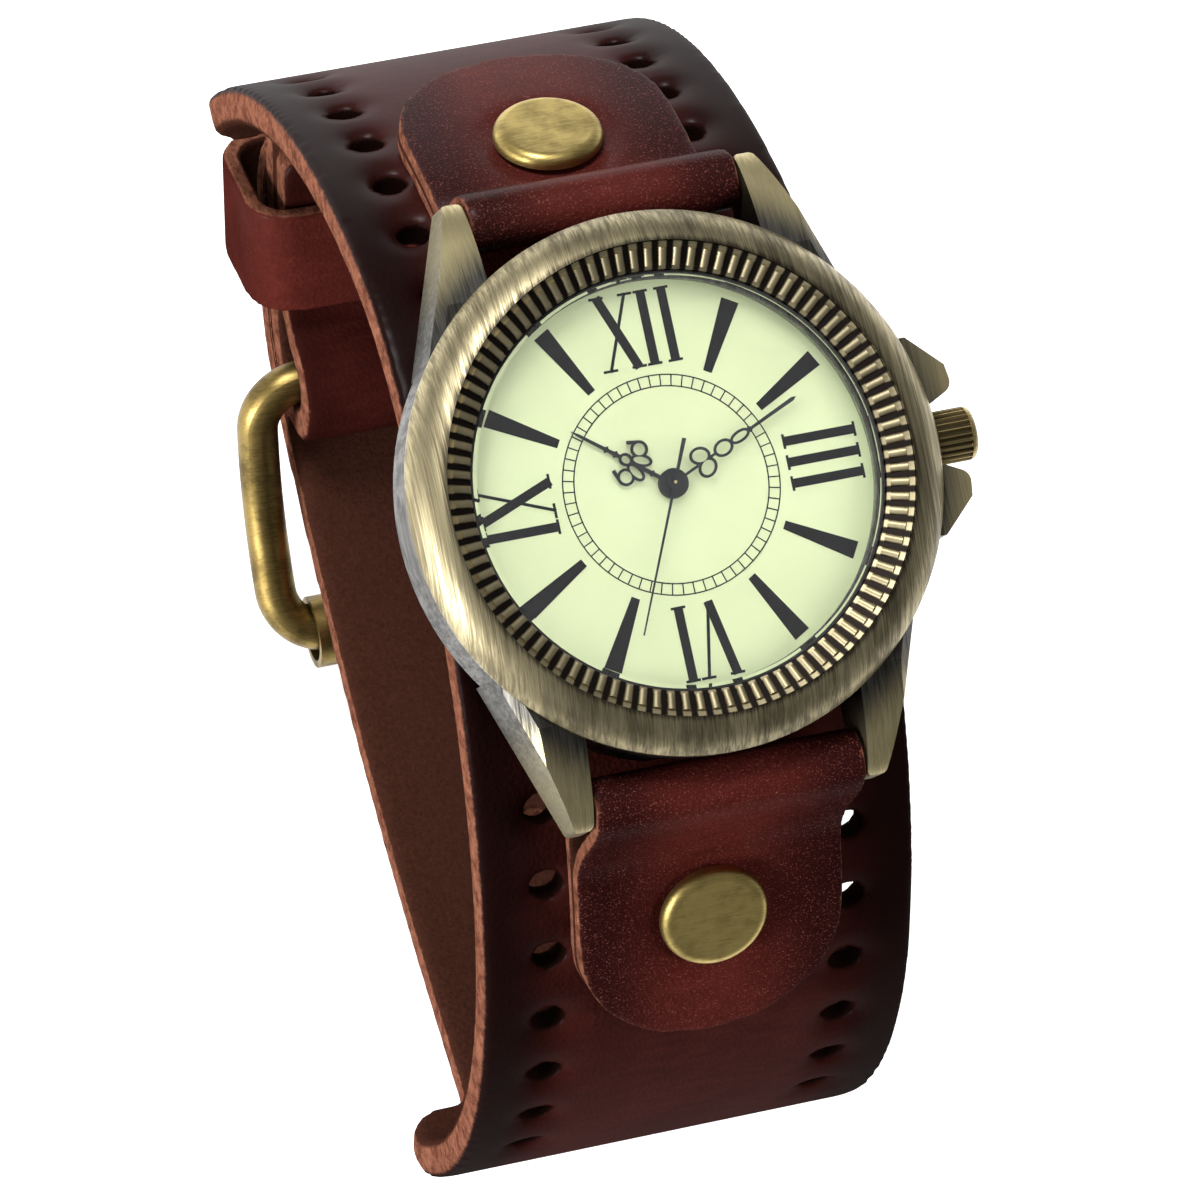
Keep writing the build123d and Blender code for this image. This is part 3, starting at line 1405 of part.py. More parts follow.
def build_tab(side, path, plane, rivet_reach, bend_reach):
    over_end = tab_end_reach + tab_leather
    round_reach = tab_end_reach - tab_width / 2
    with BuildSketch(plane) as section:
        with BuildLine():
            over_low, over_high = tab_curve(path, bend_reach, over_shift + half_tab, tab_wrap_outer)
            half_wrap(tab_wrap_outer)
            under_low, under_high = tab_curve(path, tab_join, under_shift - half_tab, -tab_wrap_outer)
            Line(under_low, path.at(tab_join, under_shift + half_tab))
            tab_curve(path, tab_join, under_shift + half_tab, -tab_wrap_inner)
            half_wrap(tab_wrap_inner)
            tab_curve(path, bend_reach, over_shift - half_tab, tab_wrap_inner)
            Line(path.at(bend_reach, over_shift - half_tab), over_low)
        make_face()
        draw_band(path, bend_reach, over_end, over_shift - half_tab, over_shift + half_tab)
        under_end = tab_end_reach - tab_under_step
        draw_band(path, tab_join, under_end, under_shift - half_tab, under_shift + half_tab)
    extrude(section.sketch, amount=tab_width / 2, both=True)
    with BuildSketch(surface_plane(side, path, round_reach, 0)) as outline:
        Circle(tab_width / 2)
        with Locations((0, -side * round_reach / 2)):
            Rectangle(tab_width, round_reach)
    extrude(outline.sketch, amount=round_reach, both=True, mode=Mode.INTERSECT)
    with Locations(surface_plane(side, path, rivet_reach, over_shift).location):
        Cylinder(rivet_post_diameter / 2 + rivet_hole_gap, 3 * leather, mode=Mode.SUBTRACT)


with BuildPart() as upper_tab:
    build_tab(1, upper_path, Plane.YZ, upper_rivet_reach, upper_tab_bend_reach)
write(upper_tab, "upper_tab")

with BuildPart() as lower_tab:
    build_tab(-1, lower_path, lower_plane, lower_rivet_reach, lower_tab_bend_reach)
write(lower_tab, "lower_tab")


# Rivets

def bend_radius_at(path, length):
    for begin, run, here, heading, signed, turn in path.pieces:
        if length <= begin + run:
            return abs(signed)


def sagitta(chord, radius):
    return radius - sqrt(radius**2 - (chord / 2) ** 2)


def rivet_levels(path, rivet_reach):
    """The seats of the cap on the tab and of the back cap on the flesh side, from the leather's middle."""
    radius = bend_radius_at(path, rivet_reach)
    cap_seat = over_shift + half_tab + rivet_seat_gap
    back_seat = -half_leather - rivet_seat_gap - sagitta(rivet_back_diameter, radius - half_leather)
    return cap_seat, back_seat


def rivet_cap(side, path, rivet_reach):
    cap_seat, back_seat = rivet_levels(path, rivet_reach)
    with BuildSketch(surface_plane(side, path, rivet_reach, cap_seat)) as section:
        Circle(rivet_cap_diameter / 2)
    extrude(section.sketch, amount=rivet_cap_height)


def rivet_post(side, path, rivet_reach):
    cap_seat, back_seat = rivet_levels(path, rivet_reach)
    with BuildSketch(surface_plane(side, path, rivet_reach, back_seat - rivet_back_height / 2)) as section:
        Circle(rivet_post_diameter / 2)
    extrude(section.sketch, amount=cap_seat - back_seat + rivet_back_height / 2)


def rivet_back(side, path, rivet_reach):
    cap_seat, back_seat = rivet_levels(path, rivet_reach)
    with BuildSketch(surface_plane(side, path, rivet_reach, back_seat - rivet_back_height)) as section:
        Circle(rivet_back_diameter / 2)
    extrude(section.sketch, amount=rivet_back_height)
    hole_shift = back_seat - rivet_back_height / 2 - shaft_gap
    with BuildSketch(surface_plane(side, path, rivet_reach, hole_shift)) as hole:
        Circle(rivet_post_diameter / 2 + shaft_gap)
    extrude(hole.sketch, amount=rivet_back_height, mode=Mode.SUBTRACT)


with BuildPart() as upper_rivet_cap:
    rivet_cap(1, upper_path, upper_rivet_reach)
    fillet(upper_rivet_cap.edges().sort_by(Axis.Z)[-1], radius=rivet_cap_rounding)
    rivet_post(1, upper_path, upper_rivet_reach)
write(upper_rivet_cap, "upper_rivet_cap")

with BuildPart() as lower_rivet_cap:
    rivet_cap(-1, lower_path, lower_rivet_reach)
    fillet(lower_rivet_cap.edges().sort_by(Axis.Z)[-1], radius=rivet_cap_rounding)
    rivet_post(-1, lower_path, lower_rivet_reach)
write(lower_rivet_cap, "lower_rivet_cap")

with BuildPart() as upper_rivet_back:
    rivet_back(1, upper_path, upper_rivet_reach)
write(upper_rivet_back, "upper_rivet_back")

with BuildPart() as lower_rivet_back:
    rivet_back(-1, lower_path, lower_rivet_reach)
write(lower_rivet_back, "lower_rivet_back")


# Spring bars: a tube, two pins that slide in it and a coil spring between them

tube_half = lug_gap / 2 - bar_end_gap
pin_outer_end = lug_gap / 2 + bar_pin_projection
pin_inner_end = tube_half - bar_pin_inside
tube_bore = bar_diameter - 2 * bar_tube_wall
spring_radius = tube_bore / 2 - spring_wire / 2 - shaft_gap
spring_half = pin_inner_end - part_gap


def bar_tube(side):
    with BuildSketch(Plane.YZ.offset(-tube_half)) as section:
        with Locations((side * bar_reach, bar_level)):
            Circle(bar_diameter / 2)
            Circle(tube_bore / 2, mode=Mode.SUBTRACT)
    extrude(section.sketch, amount=2 * tube_half)


def bar_pin(side, end):
    """One pin: a body inside the tube and a thinner tip that stands in the lug."""
    first, last = (pin_inner_end, pin_outer_end) if end > 0 else (-pin_outer_end, -pin_inner_end)
    with BuildSketch(Plane.YZ.offset(first)) as section:
        with Locations((side * bar_reach, bar_level)):
            Circle(bar_pin_diameter / 2)
    extrude(section.sketch, amount=last - first)


def bar_spring(side):
    pitch = (2 * spring_half - spring_wire) / spring_turns
    first = -spring_half + spring_wire / 2
    centre = (first, side * bar_reach, bar_level)
    height = 2 * spring_half - spring_wire
    with BuildLine() as coil_line:
        Helix(pitch=pitch, height=height, radius=spring_radius, center=centre, direction=(1, 0, 0))
    turns = coil_line.wire()
    with BuildSketch(Plane(origin=turns @ 0, z_dir=turns % 0)) as section:
        Circle(spring_wire / 2)
    sweep(section.sketch, path=turns, is_frenet=True)


with BuildPart() as upper_bar_tube:
    bar_tube(1)
write(upper_bar_tube, "upper_bar_tube")

with BuildPart() as lower_bar_tube:
    bar_tube(-1)
write(lower_bar_tube, "lower_bar_tube")

with BuildPart() as upper_bar_pin_left:
    bar_pin(1, -1)
write(upper_bar_pin_left, "upper_bar_pin_left")

with BuildPart() as upper_bar_pin_right:
    bar_pin(1, 1)
write(upper_bar_pin_right, "upper_bar_pin_right")

with BuildPart() as lower_bar_pin_left:
    bar_pin(-1, -1)
write(lower_bar_pin_left, "lower_bar_pin_left")

with BuildPart() as lower_bar_pin_right:
    bar_pin(-1, 1)
write(lower_bar_pin_right, "lower_bar_pin_right")

with BuildPart() as upper_bar_spring:
    bar_spring(1)
write(upper_bar_spring, "upper_bar_spring")

with BuildPart() as lower_bar_spring:
    bar_spring(-1)
write(lower_bar_spring, "lower_bar_spring")


# Buckle: an arched frame of round wire, with a roller on its far bar and a cranked prong

rail_across = buckle_inner_width / 2 + wire_radius
tilt = radians(buckle_tilt)
frame_along = (-cos(tilt), -sin(tilt))
frame_out = (sin(tilt), -cos(tilt))
arch = radians(buckle_arch / 2)
roller_place = tuple(bar + buckle_length * along for bar, along in zip(buckle_bar, frame_along))


def frame_direction(turn):
    return (
        cos(turn) * frame_along[0] + sin(turn) * frame_out[0],
        cos(turn) * frame_along[1] + sin(turn) * frame_out[1],
    )


def step_from(place, direction, distance):
    return (place[0] + distance * direction[0], place[1] + distance * direction[1])


leave_bar = frame_direction(arch)
reach_roller = frame_direction(-arch)
rail_start = step_from(buckle_bar, leave_bar, buckle_corner)
rail_last = step_from(roller_place, reach_roller, -buckle_corner)
rail_chord = hypot(rail_last[0] - rail_start[0], rail_last[1] - rail_start[1])
rail_sagitta = rail_chord / 2 * (1 - cos(arch)) / sin(arch)
rail_half_way = ((rail_start[0] + rail_last[0]) / 2, (rail_start[1] + rail_last[1]) / 2)
rail_middle = step_from(rail_half_way, frame_out, rail_sagitta)
corner_across = rail_across - buckle_corner


def corner_middle(centre, direction):
    """The middle of a quarter bend whose straight side points against a direction."""
    side_step = buckle_corner * sin(radians(45))
    place = step_from(centre, direction, -side_step)
    return (corner_across + side_step, place[0], place[1])


with BuildPart() as buckle_frame:
    with BuildLine() as half_frame:
        Line((0, *buckle_bar), (corner_across, *buckle_bar))
        bar_corner = corner_middle(rail_start, leave_bar)
        ThreePointArc((corner_across, *buckle_bar), bar_corner, (rail_across, *rail_start))
        ThreePointArc((rail_across, *rail_start), (rail_across, *rail_middle), (rail_across, *rail_last))
        roller_corner = corner_middle(rail_last, (-reach_roller[0], -reach_roller[1]))
        ThreePointArc((rail_across, *rail_last), roller_corner, (corner_across, *roller_place))
        Line((corner_across, *roller_place), (0, *roller_place))
    with BuildSketch(Plane(origin=(0, *buckle_bar), z_dir=(1, 0, 0))):
        Circle(wire_radius)
    sweep(path=half_frame.wire())
    mirror(about=Plane.YZ)
write(buckle_frame, "buckle_frame")

roller_half = rail_across - wire_radius - roller_end_gap
with BuildPart() as buckle_roller:
    with BuildSketch(Plane.YZ.offset(-roller_half)):
        with Locations(roller_place):
            Circle(roller_diameter / 2)
            Circle(roller_bore / 2, mode=Mode.SUBTRACT)
    extrude(amount=2 * roller_half)
write(buckle_roller, "buckle_roller")

eye_radius = wire_radius + prong_gap + prong_wire / 2
prong_first = (buckle_bar[0], buckle_bar[1] - eye_radius)
prong_second = (prong_turn_y, prong_first[1])
prong_third = (prong_turn_y - prong_crank_step, prong_first[1] - prong_crank_drop)
roller_stand = roller_diameter / 2 + prong_gap + prong_wire / 2
with BuildPart() as buckle_prong:
    run_length = hypot(prong_third[0] - roller_place[0], prong_third[1] - roller_place[1])
    dip = atan2(prong_third[1] - roller_place[1], prong_third[0] - roller_place[0]) + radians(180)
    lean = dip + atan2(roller_stand, sqrt(run_length**2 - roller_stand**2))
    tip = step_from(prong_third, (cos(lean), sin(lean)), run_length + prong_overhang)
    with BuildLine(Plane.YZ) as shank_line:
        FilletPolyline(prong_first, prong_second, prong_third, tip, radius=prong_bend)
    with BuildSketch(Plane(origin=(0, *prong_first), z_dir=(0, -1, 0))):
        Circle(prong_wire / 2)
    sweep(path=shank_line.wire())
    with BuildSketch(Plane(origin=(0, *prong_first), z_dir=(0, -1, 0))):
        Circle(prong_wire / 2)
    revolve(axis=Axis((0, *buckle_bar), (1, 0, 0)), revolution_arc=360)
write(buckle_prong, "buckle_prong")


# Keeper: a closed loop of leather round the three layers beside the buckle

keeper_length = crest_length + keeper_set_back
keeper_out, keeper_up = upper_main.at(keeper_length)
keeper_turn = radians(run_heading)
keeper_direction = (0, cos(keeper_turn), -sin(keeper_turn))
stack_half = leather * 3 / 2 + layer_gap
with BuildPart() as keeper_loop:
    keeper_inner_height = 2 * (stack_half + keeper_stand_off)
    keeper_inner_width = strap_width + 2 * keeper_side_room
    with BuildSketch(Plane(origin=(0, keeper_out, keeper_up), x_dir=(1, 0, 0), z_dir=keeper_direction)):
        RectangleRounded(
            keeper_inner_width + 2 * keeper_leather,
            keeper_inner_height + 2 * keeper_leather,
            keeper_rounding + keeper_leather,
        )
        RectangleRounded(keeper_inner_width, keeper_inner_height, keeper_rounding, mode=Mode.SUBTRACT)
    extrude(amount=keeper_width)
write(keeper_loop, "keeper_loop")
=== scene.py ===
# %% [markdown]
# # A cuff watch, dressed for a photograph
# The watch was built first as separate solids. This lesson loads those solids, gives each metal, glass
# and painted part its finish, and makes the leather again as leather: cut from a sheet, bent, punched and
# burnished. All lengths below are in millimetres until they reach the mesh, which is in metres.

# %% The solids
import bmesh
import bpy
import json
import math
import numpy as np
from mathutils import Matrix, Vector


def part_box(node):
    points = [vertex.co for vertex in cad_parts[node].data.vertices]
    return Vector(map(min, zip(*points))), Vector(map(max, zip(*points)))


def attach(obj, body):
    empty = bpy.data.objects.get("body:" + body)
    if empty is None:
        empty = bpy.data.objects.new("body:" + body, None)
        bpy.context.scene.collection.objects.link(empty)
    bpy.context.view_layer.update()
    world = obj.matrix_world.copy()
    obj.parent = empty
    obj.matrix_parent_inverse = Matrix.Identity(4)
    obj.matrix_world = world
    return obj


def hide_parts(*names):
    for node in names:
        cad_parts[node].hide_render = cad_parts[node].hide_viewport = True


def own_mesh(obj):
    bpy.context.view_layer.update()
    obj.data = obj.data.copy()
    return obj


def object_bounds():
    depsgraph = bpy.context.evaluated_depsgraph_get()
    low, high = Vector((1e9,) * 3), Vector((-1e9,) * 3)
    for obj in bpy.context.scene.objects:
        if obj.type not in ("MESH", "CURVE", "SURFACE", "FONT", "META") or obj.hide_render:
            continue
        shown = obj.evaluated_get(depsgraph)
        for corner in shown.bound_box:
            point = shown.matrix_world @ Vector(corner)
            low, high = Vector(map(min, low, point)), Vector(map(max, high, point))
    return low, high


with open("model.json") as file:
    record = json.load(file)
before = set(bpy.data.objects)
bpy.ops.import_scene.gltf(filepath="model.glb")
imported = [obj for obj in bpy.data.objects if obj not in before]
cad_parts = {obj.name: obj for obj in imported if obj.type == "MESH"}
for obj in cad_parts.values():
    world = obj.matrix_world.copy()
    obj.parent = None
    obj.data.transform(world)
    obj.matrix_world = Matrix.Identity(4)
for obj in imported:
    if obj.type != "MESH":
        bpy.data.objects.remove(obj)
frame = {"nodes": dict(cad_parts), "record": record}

solid_low, solid_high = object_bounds()
nodes = frame["nodes"]
MM = 0.001
print("solids:", len(nodes), "box:", [round(v, 4) for v in (*solid_low, *solid_high)])

# %% [markdown]
# ## The camera
# The photograph was taken with a long lens from a little to the left of the dial. Its place was worked out
# in metres from the ellipse of the bezel and the places of the hour marks. A camera in Blender looks along
# its own -Z, so the three directions it needs (right, up, back) are the columns of its turn.

# %% Camera
camera_place = Vector((-0.1509466, -0.0620841, 0.5744155))
camera_right = Vector((0.95340821, -0.20916531, 0.21739974))
camera_up = Vector((0.18232132, 0.97362326, 0.13717391))
camera_back = Vector((-0.24035747, -0.09114612, 0.96639571))
photo_pixels = 1200.0
focal_pixels = 7860.0
sensor_width = 36.0

lens = bpy.data.cameras.new("photo_camera")
lens.sensor_width = sensor_width
lens.lens = focal_pixels / photo_pixels * sensor_width
lens.clip_start = 0.05
lens.clip_end = 20.0
camera = bpy.data.objects.new("photo_camera", lens)
bpy.context.scene.collection.objects.link(camera)
camera_turn = Matrix((camera_right, camera_up, camera_back)).transposed()
camera.matrix_world = Matrix.Translation(camera_place) @ camera_turn.to_4x4()
bpy.context.scene.camera = camera
print("camera lens:", round(lens.lens, 1), "mm")

# %% [markdown]
# ## Writing a finish as sums
# A finish is a small network of nodes. Drawing it by hand in code is long, so one class wraps a socket and
# lets it be added, multiplied and so on: each sum adds the Math node that it stands for.

# %% Sockets that can be used in sums
class Wire:
    def __init__(self, owner, socket):
        self.owner = owner
        self.socket = socket

    def _sum(self, operation, first, second):
        return self.owner.node("ShaderNodeMath", {"operation": operation}, first, second)

    def __add__(self, other):
        return self._sum("ADD", self, other)

    def __sub__(self, other):
        return self._sum("SUBTRACT", self, other)

    def __rsub__(self, other):
        return self._sum("SUBTRACT", other, self)

    def __mul__(self, other):
        return self._sum("MULTIPLY", self, other)

    def __pow__(self, other):
        return self._sum("POWER", self, other)

    __radd__ = __add__
    __rmul__ = __mul__


print("sums on sockets: +, -, * and **")

# %% [markdown]
# Any other node comes from one method, which takes the node's type, its settings and what goes into its
# sockets. It serves materials and the world alike.

# %% Nodes of a tree
class Nodes:
    def __init__(self, tree, shader):
        self.tree = tree
        self.shader = tree.nodes[shader]

    def node(self, kind, settings=None, *values, out=0, **named):
        """A new node; values go to its sockets in order, where None skips one, or by their names."""
        made = self.tree.nodes.new(kind)
        for key, value in (settings or {}).items():
            setattr(made, key, value)
        pairs = [(made.inputs[number], value) for number, value in enumerate(values)]
        pairs += [(made.inputs[key.replace("_", " ")], value) for key, value in named.items()]
        for socket, value in pairs:
            if isinstance(value, Wire):
                self.tree.links.new(value.socket, socket)
            elif value is not None:
                socket.default_value = value
        return Wire(self, made.outputs[out])

    def to(self, socket, wire):
        self.tree.links.new(wire.socket, self.shader.inputs[socket])


print("one method makes every other node")

# %% [markdown]
# A finish is such a tree with a Principled shader. What is the same all over is set on the shader's own
# sockets, and the methods below give what changes over the surface. Object coordinates are in metres, so
# they are brought to millimetres first.

# %% A finish
PER_METRE = 1000.0


class Finish(Nodes):
    def __init__(self, name, **constants):
        self.material = bpy.data.materials.new(name)
        self.material.use_nodes = True
        super().__init__(self.material.node_tree, "Principled BSDF")
        for socket, value in constants.items():
            self.shader.inputs[socket.replace("_", " ")].default_value = value

    def place(self, scale=(1, 1, 1), turned=0.0):
        """Object coordinates in millimetres, stretched by a scale and turned about Z."""
        where = self.node("ShaderNodeTexCoord", out="Object")
        grown = tuple(PER_METRE * value for value in scale)
        return self.node("ShaderNodeMapping", None, where, Rotation=(0, 0, turned), Scale=grown)

    def along(self, axis):
        """One of the three Object coordinates, in millimetres."""
        where = self.node("ShaderNodeTexCoord", out="Object")
        return self.node("ShaderNodeSeparateXYZ", None, where, out=axis) * PER_METRE

    def noise(self, where, scale, detail=2.0, rough=0.5):
        values = {"Vector": where, "Scale": scale, "Detail": detail, "Roughness": rough}
        return self.node("ShaderNodeTexNoise", **values)

    def attribute(self, name):
        return self.node("ShaderNodeAttribute", {"attribute_name": name}, out="Fac")

    def step(self, value, low, high):
        """0 below low, 1 above high and smooth between."""
        smooth = {"interpolation_type": "SMOOTHSTEP"}
        return self.node("ShaderNodeMapRange", smooth, Value=value, From_Min=low, From_Max=high)

    def mix(self, share, first, second):
        """A colour between two; on a Mix node, five other sockets stand between the share and these."""
        colours = [(*value, 1.0) if isinstance(value, tuple) else value for value in (first, second)]
        others = [None] * 5
        return self.node("ShaderNodeMix", {"data_type": "RGBA"}, share, *others, *colours, out=2)

    def bump(self, height, depth, strength=1.0):
        return self.node("ShaderNodeBump", Strength=strength, Distance=depth * MM, Height=height)


print("the finish class is ready")

# %% [markdown]
# ## Brushed antique bronze
# The case is plated and then brushed in one direction, from twelve to six, so the scratches run straight
# across the round bezel. A noise that is squeezed across and stretched along gives such lines. The old look
# comes from a dark stain that stays where nothing rubs it off. Each part has its own wash, a function that
# says where that is.

# %% Bronze for the case
def bronze(name, warm, dark, wash, stain, depth, side_on=False, contrast=0.7):
    """wash takes the finish and returns how far a place is rubbed clean of the stain, from 0 to 1; for the
    case it also holds painted shade on the walls.
    """
    finish = Finish(name, Metallic=1.0)
    stretch = (0.06, 3.2, 3.2) if side_on else (3.4, 0.05, 0.5)
    fine = finish.noise(finish.place(stretch), 2.3, 4.0, 0.62)
    coarse = finish.noise(finish.place(tuple(0.3 * value for value in stretch)), 2.0, 3.0, 0.6)
    cloud = finish.noise(finish.place(), 0.16, 3.0, 0.55)
    streak = finish.step(fine * 0.55 + coarse * 0.45, 0.38, 0.64)
    rubbed = wash(finish, fine)
    colour = finish.mix(streak * contrast + cloud * (1.0 - contrast), dark, warm)
    stained = finish.mix(streak, tuple(0.3 * value for value in stain), stain)
    finish.to("Base Color", finish.mix(rubbed, stained, colour))
    finish.to("Roughness", 0.46 - streak * 0.14 + cloud * 0.06)
    finish.to("Normal", finish.bump(fine + coarse * 0.5, depth, 0.6))
    return finish.material


print("bronze is a mix of streaks, clouds and stain")

# %% [markdown]
# The washes measure from the watch's own axis, or for the crown from the crown's. A wash fades between two
# radii, and a little of the fine noise makes its border uneven. The case's wash also keeps faces that turn
# away from up darker: painted shade on its walls.

# %% Where the stain is rubbed off
groove_radii = (18.3, 18.8)
case_radii = (21.4, 25.2)
guard_reach = (18.0, 20.0)
painted_light_facing = (0.15, 0.6)
crown_axis_height = -5.45
flute_radii = (1.86, 2.06)


def bezel_wash(finish, fine):
    """Dark along the groove by the reeds, and in patches further out."""
    x, y = finish.along(0), finish.along(1)
    radius = (x * x + y * y) ** 0.5 + (fine - 0.5) * 0.8
    patch = finish.step(finish.noise(finish.place((1, 0.35, 1)), 0.25, 3.0, 0.6), 0.34, 0.58)
    return finish.step(radius, *groove_radii) * (patch * 0.45 + 0.55)


def case_wash_and_shade(finish, fine):
    """The tips of the lugs and guards are rubbed bright and what lies by the bezel stays dark; walls that
    face sideways are darker too, a painted shade.
    """
    x, y = finish.along(0), finish.along(1)
    radius = (x * x + y * y) ** 0.5 + (fine - 0.5) * 1.2 + finish.step(x, *guard_reach)
    # Faces that turn up get more of the brightening: painted light from above, painted shade on the walls.
    facing = finish.node("ShaderNodeTexCoord", out="Normal")
    painted_up_light = finish.step(finish.node("ShaderNodeSeparateXYZ", None, facing, out=2), *painted_light_facing)
    return finish.step(radius, *case_radii) * (painted_up_light * 0.5 + 0.5)


def crown_wash(finish, fine):
    """The flutes keep the stain: they lie nearer to the crown's own axis."""
    y, z = finish.along(1), finish.along(2) - crown_axis_height
    radius = (y * y + z * z) ** 0.5 + (fine - 0.5) * 0.1
    return finish.step(radius, *flute_radii) * 0.85 + 0.1


bezel_finish = bronze(
    "bronze_bezel",
    warm=(0.52, 0.45, 0.27),
    dark=(0.12, 0.10, 0.06),
    wash=bezel_wash,
    stain=(0.13, 0.11, 0.07),
    depth=0.028,
)
case_finish = bronze(
    "bronze_case",
    warm=(0.68, 0.58, 0.32),
    dark=(0.26, 0.22, 0.12),
    wash=case_wash_and_shade,
    stain=(0.10, 0.096, 0.085),
    depth=0.008,
    contrast=0.5,
)
crown_finish = bronze(
    "bronze_crown",
    warm=(0.66, 0.52, 0.25),
    dark=(0.34, 0.26, 0.12),
    wash=crown_wash,
    stain=(0.05, 0.04, 0.02),
    depth=0.008,
    side_on=True,
)
print("bronze finishes:", bezel_finish.name, case_finish.name, crown_finish.name)

# %% [markdown]
# The reeded ring is the same metal. Its colour paints a highlight on the top of each rounded bar and
# nearly black shade between it and the next: a painted highlight and painted shade. The angle round the
# dial, times the number of bars, tells the two apart.

# %% Bronze for the reeded ring
reed_count = 96.0


def reeded_bronze():
    finish = Finish("bronze_reeds", Metallic=1.0)
    x, y = finish.along(0), finish.along(1)
    angle = finish.node("ShaderNodeMath", {"operation": "ARCTAN2"}, y, x)
    wave = finish.node("ShaderNodeMath", {"operation": "COSINE"}, angle * reed_count)
    # 1 on the top of each bar and 0 between bars: a painted highlight on the tops, painted shade in the
    # gaps.
    painted_reed_light = finish.step(wave + (finish.noise(finish.place(), 1.1) - 0.5) * 0.5, -0.55, 0.35)
    worn = finish.noise(finish.place(), 0.5, 3.0)
    bright = finish.mix(worn, (0.24, 0.20, 0.12), (0.54, 0.47, 0.29))
    # The nearly black colour is painted shade between the bars.
    finish.to("Base Color", finish.mix(painted_reed_light, (0.018, 0.014, 0.012), bright))
    finish.to("Roughness", 0.56 - painted_reed_light * 0.06)
    finish.to("Normal", finish.bump(finish.noise(finish.place(), 5.0), 0.02, 0.4))
    return finish.material


reed_finish = reeded_bronze()
print("reeds:", reed_finish.name)

# %% [markdown]
# ## Antique brass
# The rivets and the buckle are yellower and smoother than the case. Handling rubs their tops bright and
# leaves fine scratches in every direction, so two stretched noises are crossed at different angles.

# %% Brass for rivets and buckle
def old_brass(name, warm, dark, scratch):
    finish = Finish(name, Metallic=1.0)
    cloud = finish.noise(finish.place(), 0.35, 4.0, 0.6)
    one = finish.noise(finish.place((0.22, 4.0, 1.0), 0.7), 2.0, 3.0, 0.6)
    two = finish.noise(finish.place((0.25, 3.6, 1.0), -0.5), 2.0, 3.0, 0.6)
    rubbed = finish.step(cloud * 0.7 + one * 0.3, 0.36, 0.62)
    finish.to("Base Color", finish.mix(rubbed, dark, warm))
    finish.to("Roughness", 0.36 + (one - 0.5) * 0.2 + (1.0 - rubbed) * 0.12)
    finish.to("Normal", finish.bump(one + two, 0.02 * scratch, 0.5))
    return finish.material


rivet_finish = old_brass("brass_rivet", (0.52, 0.40, 0.14), (0.25, 0.185, 0.06), scratch=1.0)
buckle_finish = old_brass("brass_buckle", (0.28, 0.20, 0.066), (0.11, 0.077, 0.025), scratch=0.5)
print("brass finishes:", rivet_finish.name, buckle_finish.name)

# %% [markdown]
# ## Dial, ink and hands
# The dial is lacquered a pale green cream, with a faint sunken grain that only shows in a raking light. The
# ring round it is a darker green and glossier, so it mirrors the ends of the numerals. Ink and hands are
# the same lacquer, nearly black.

# %% Dial, ring, ink and hands
def lacquer(name, light, shade, rough, coat=0.0, grain=0.05, shine=0.5):
    finish = Finish(name, Coat_Weight=coat, Coat_Roughness=0.06, Specular_IOR_Level=shine)
    cloud = finish.noise(finish.place(), 0.12, 2.0, 0.5)
    speck = finish.noise(finish.place(), 9.0, 2.0, 0.6)
    finish.to("Base Color", finish.mix(finish.step(cloud, 0.3, 0.7), shade, light))
    finish.to("Roughness", speck * 0.1 + (rough - 0.05))
    finish.to("Normal", finish.bump(speck, 0.01 * grain, 0.3))
    return finish.material


dial_finish = lacquer("lacquer_dial", (0.76, 0.85, 0.50), (0.72, 0.81, 0.46), 0.42, coat=0.1, grain=0.4)
ring_finish = lacquer("lacquer_ring", (0.09, 0.12, 0.055), (0.06, 0.085, 0.035), 0.14, coat=0.6)
ink_finish = lacquer("ink", (0.002, 0.002, 0.003), (0.003, 0.003, 0.004), 0.7, shine=0.05)
hand_finish = lacquer("hand_paint", (0.004, 0.005, 0.008), (0.007, 0.008, 0.012), 0.4, coat=0.1, shine=0.2)
print("dial finishes:", dial_finish.name, ring_finish.name, ink_finish.name, hand_finish.name)

# %% [markdown]
# ## The crystal
# Clear glass needs only its index of refraction and a trace of roughness, which changes slowly over it, so
# that the crystal doesn't look like a hole.

# %% Glass
def clear_glass():
    finish = Finish("clear_glass", Base_Color=(1, 1, 1, 1), Transmission_Weight=1.0, IOR=1.45)
    finish.to("Roughness", finish.noise(finish.place(), 0.08, 1.0) * 0.01)
    return finish.material


glass_finish = clear_glass()
print("glass:", glass_finish.name)

# %% [markdown]
# ## Finishes for what is inside
# The movement can't be seen in the photograph, but other views show it, so its plates, wheels, coil and
# board are finished too, with one plain recipe in different colours. A solid takes the finish of its
# material slot, unless it has one of its own.

# %% Finishes by material slot
def plain(name, light, shade, rough, metal=0.0, grain=2.5):
    finish = Finish(name, Metallic=metal)
    mottle = finish.noise(finish.place(), grain, 4.0, 0.6)
    finish.to("Base Color", finish.mix(finish.step(mottle, 0.35, 0.65), shade, light))
    finish.to("Roughness", mottle * 0.16 + (rough - 0.08))
    finish.to("Normal", finish.bump(mottle, 0.012, 0.4))
    return finish.material


def dress(piece, finish):
    piece.data.materials.clear()
    piece.data.materials.append(finish)


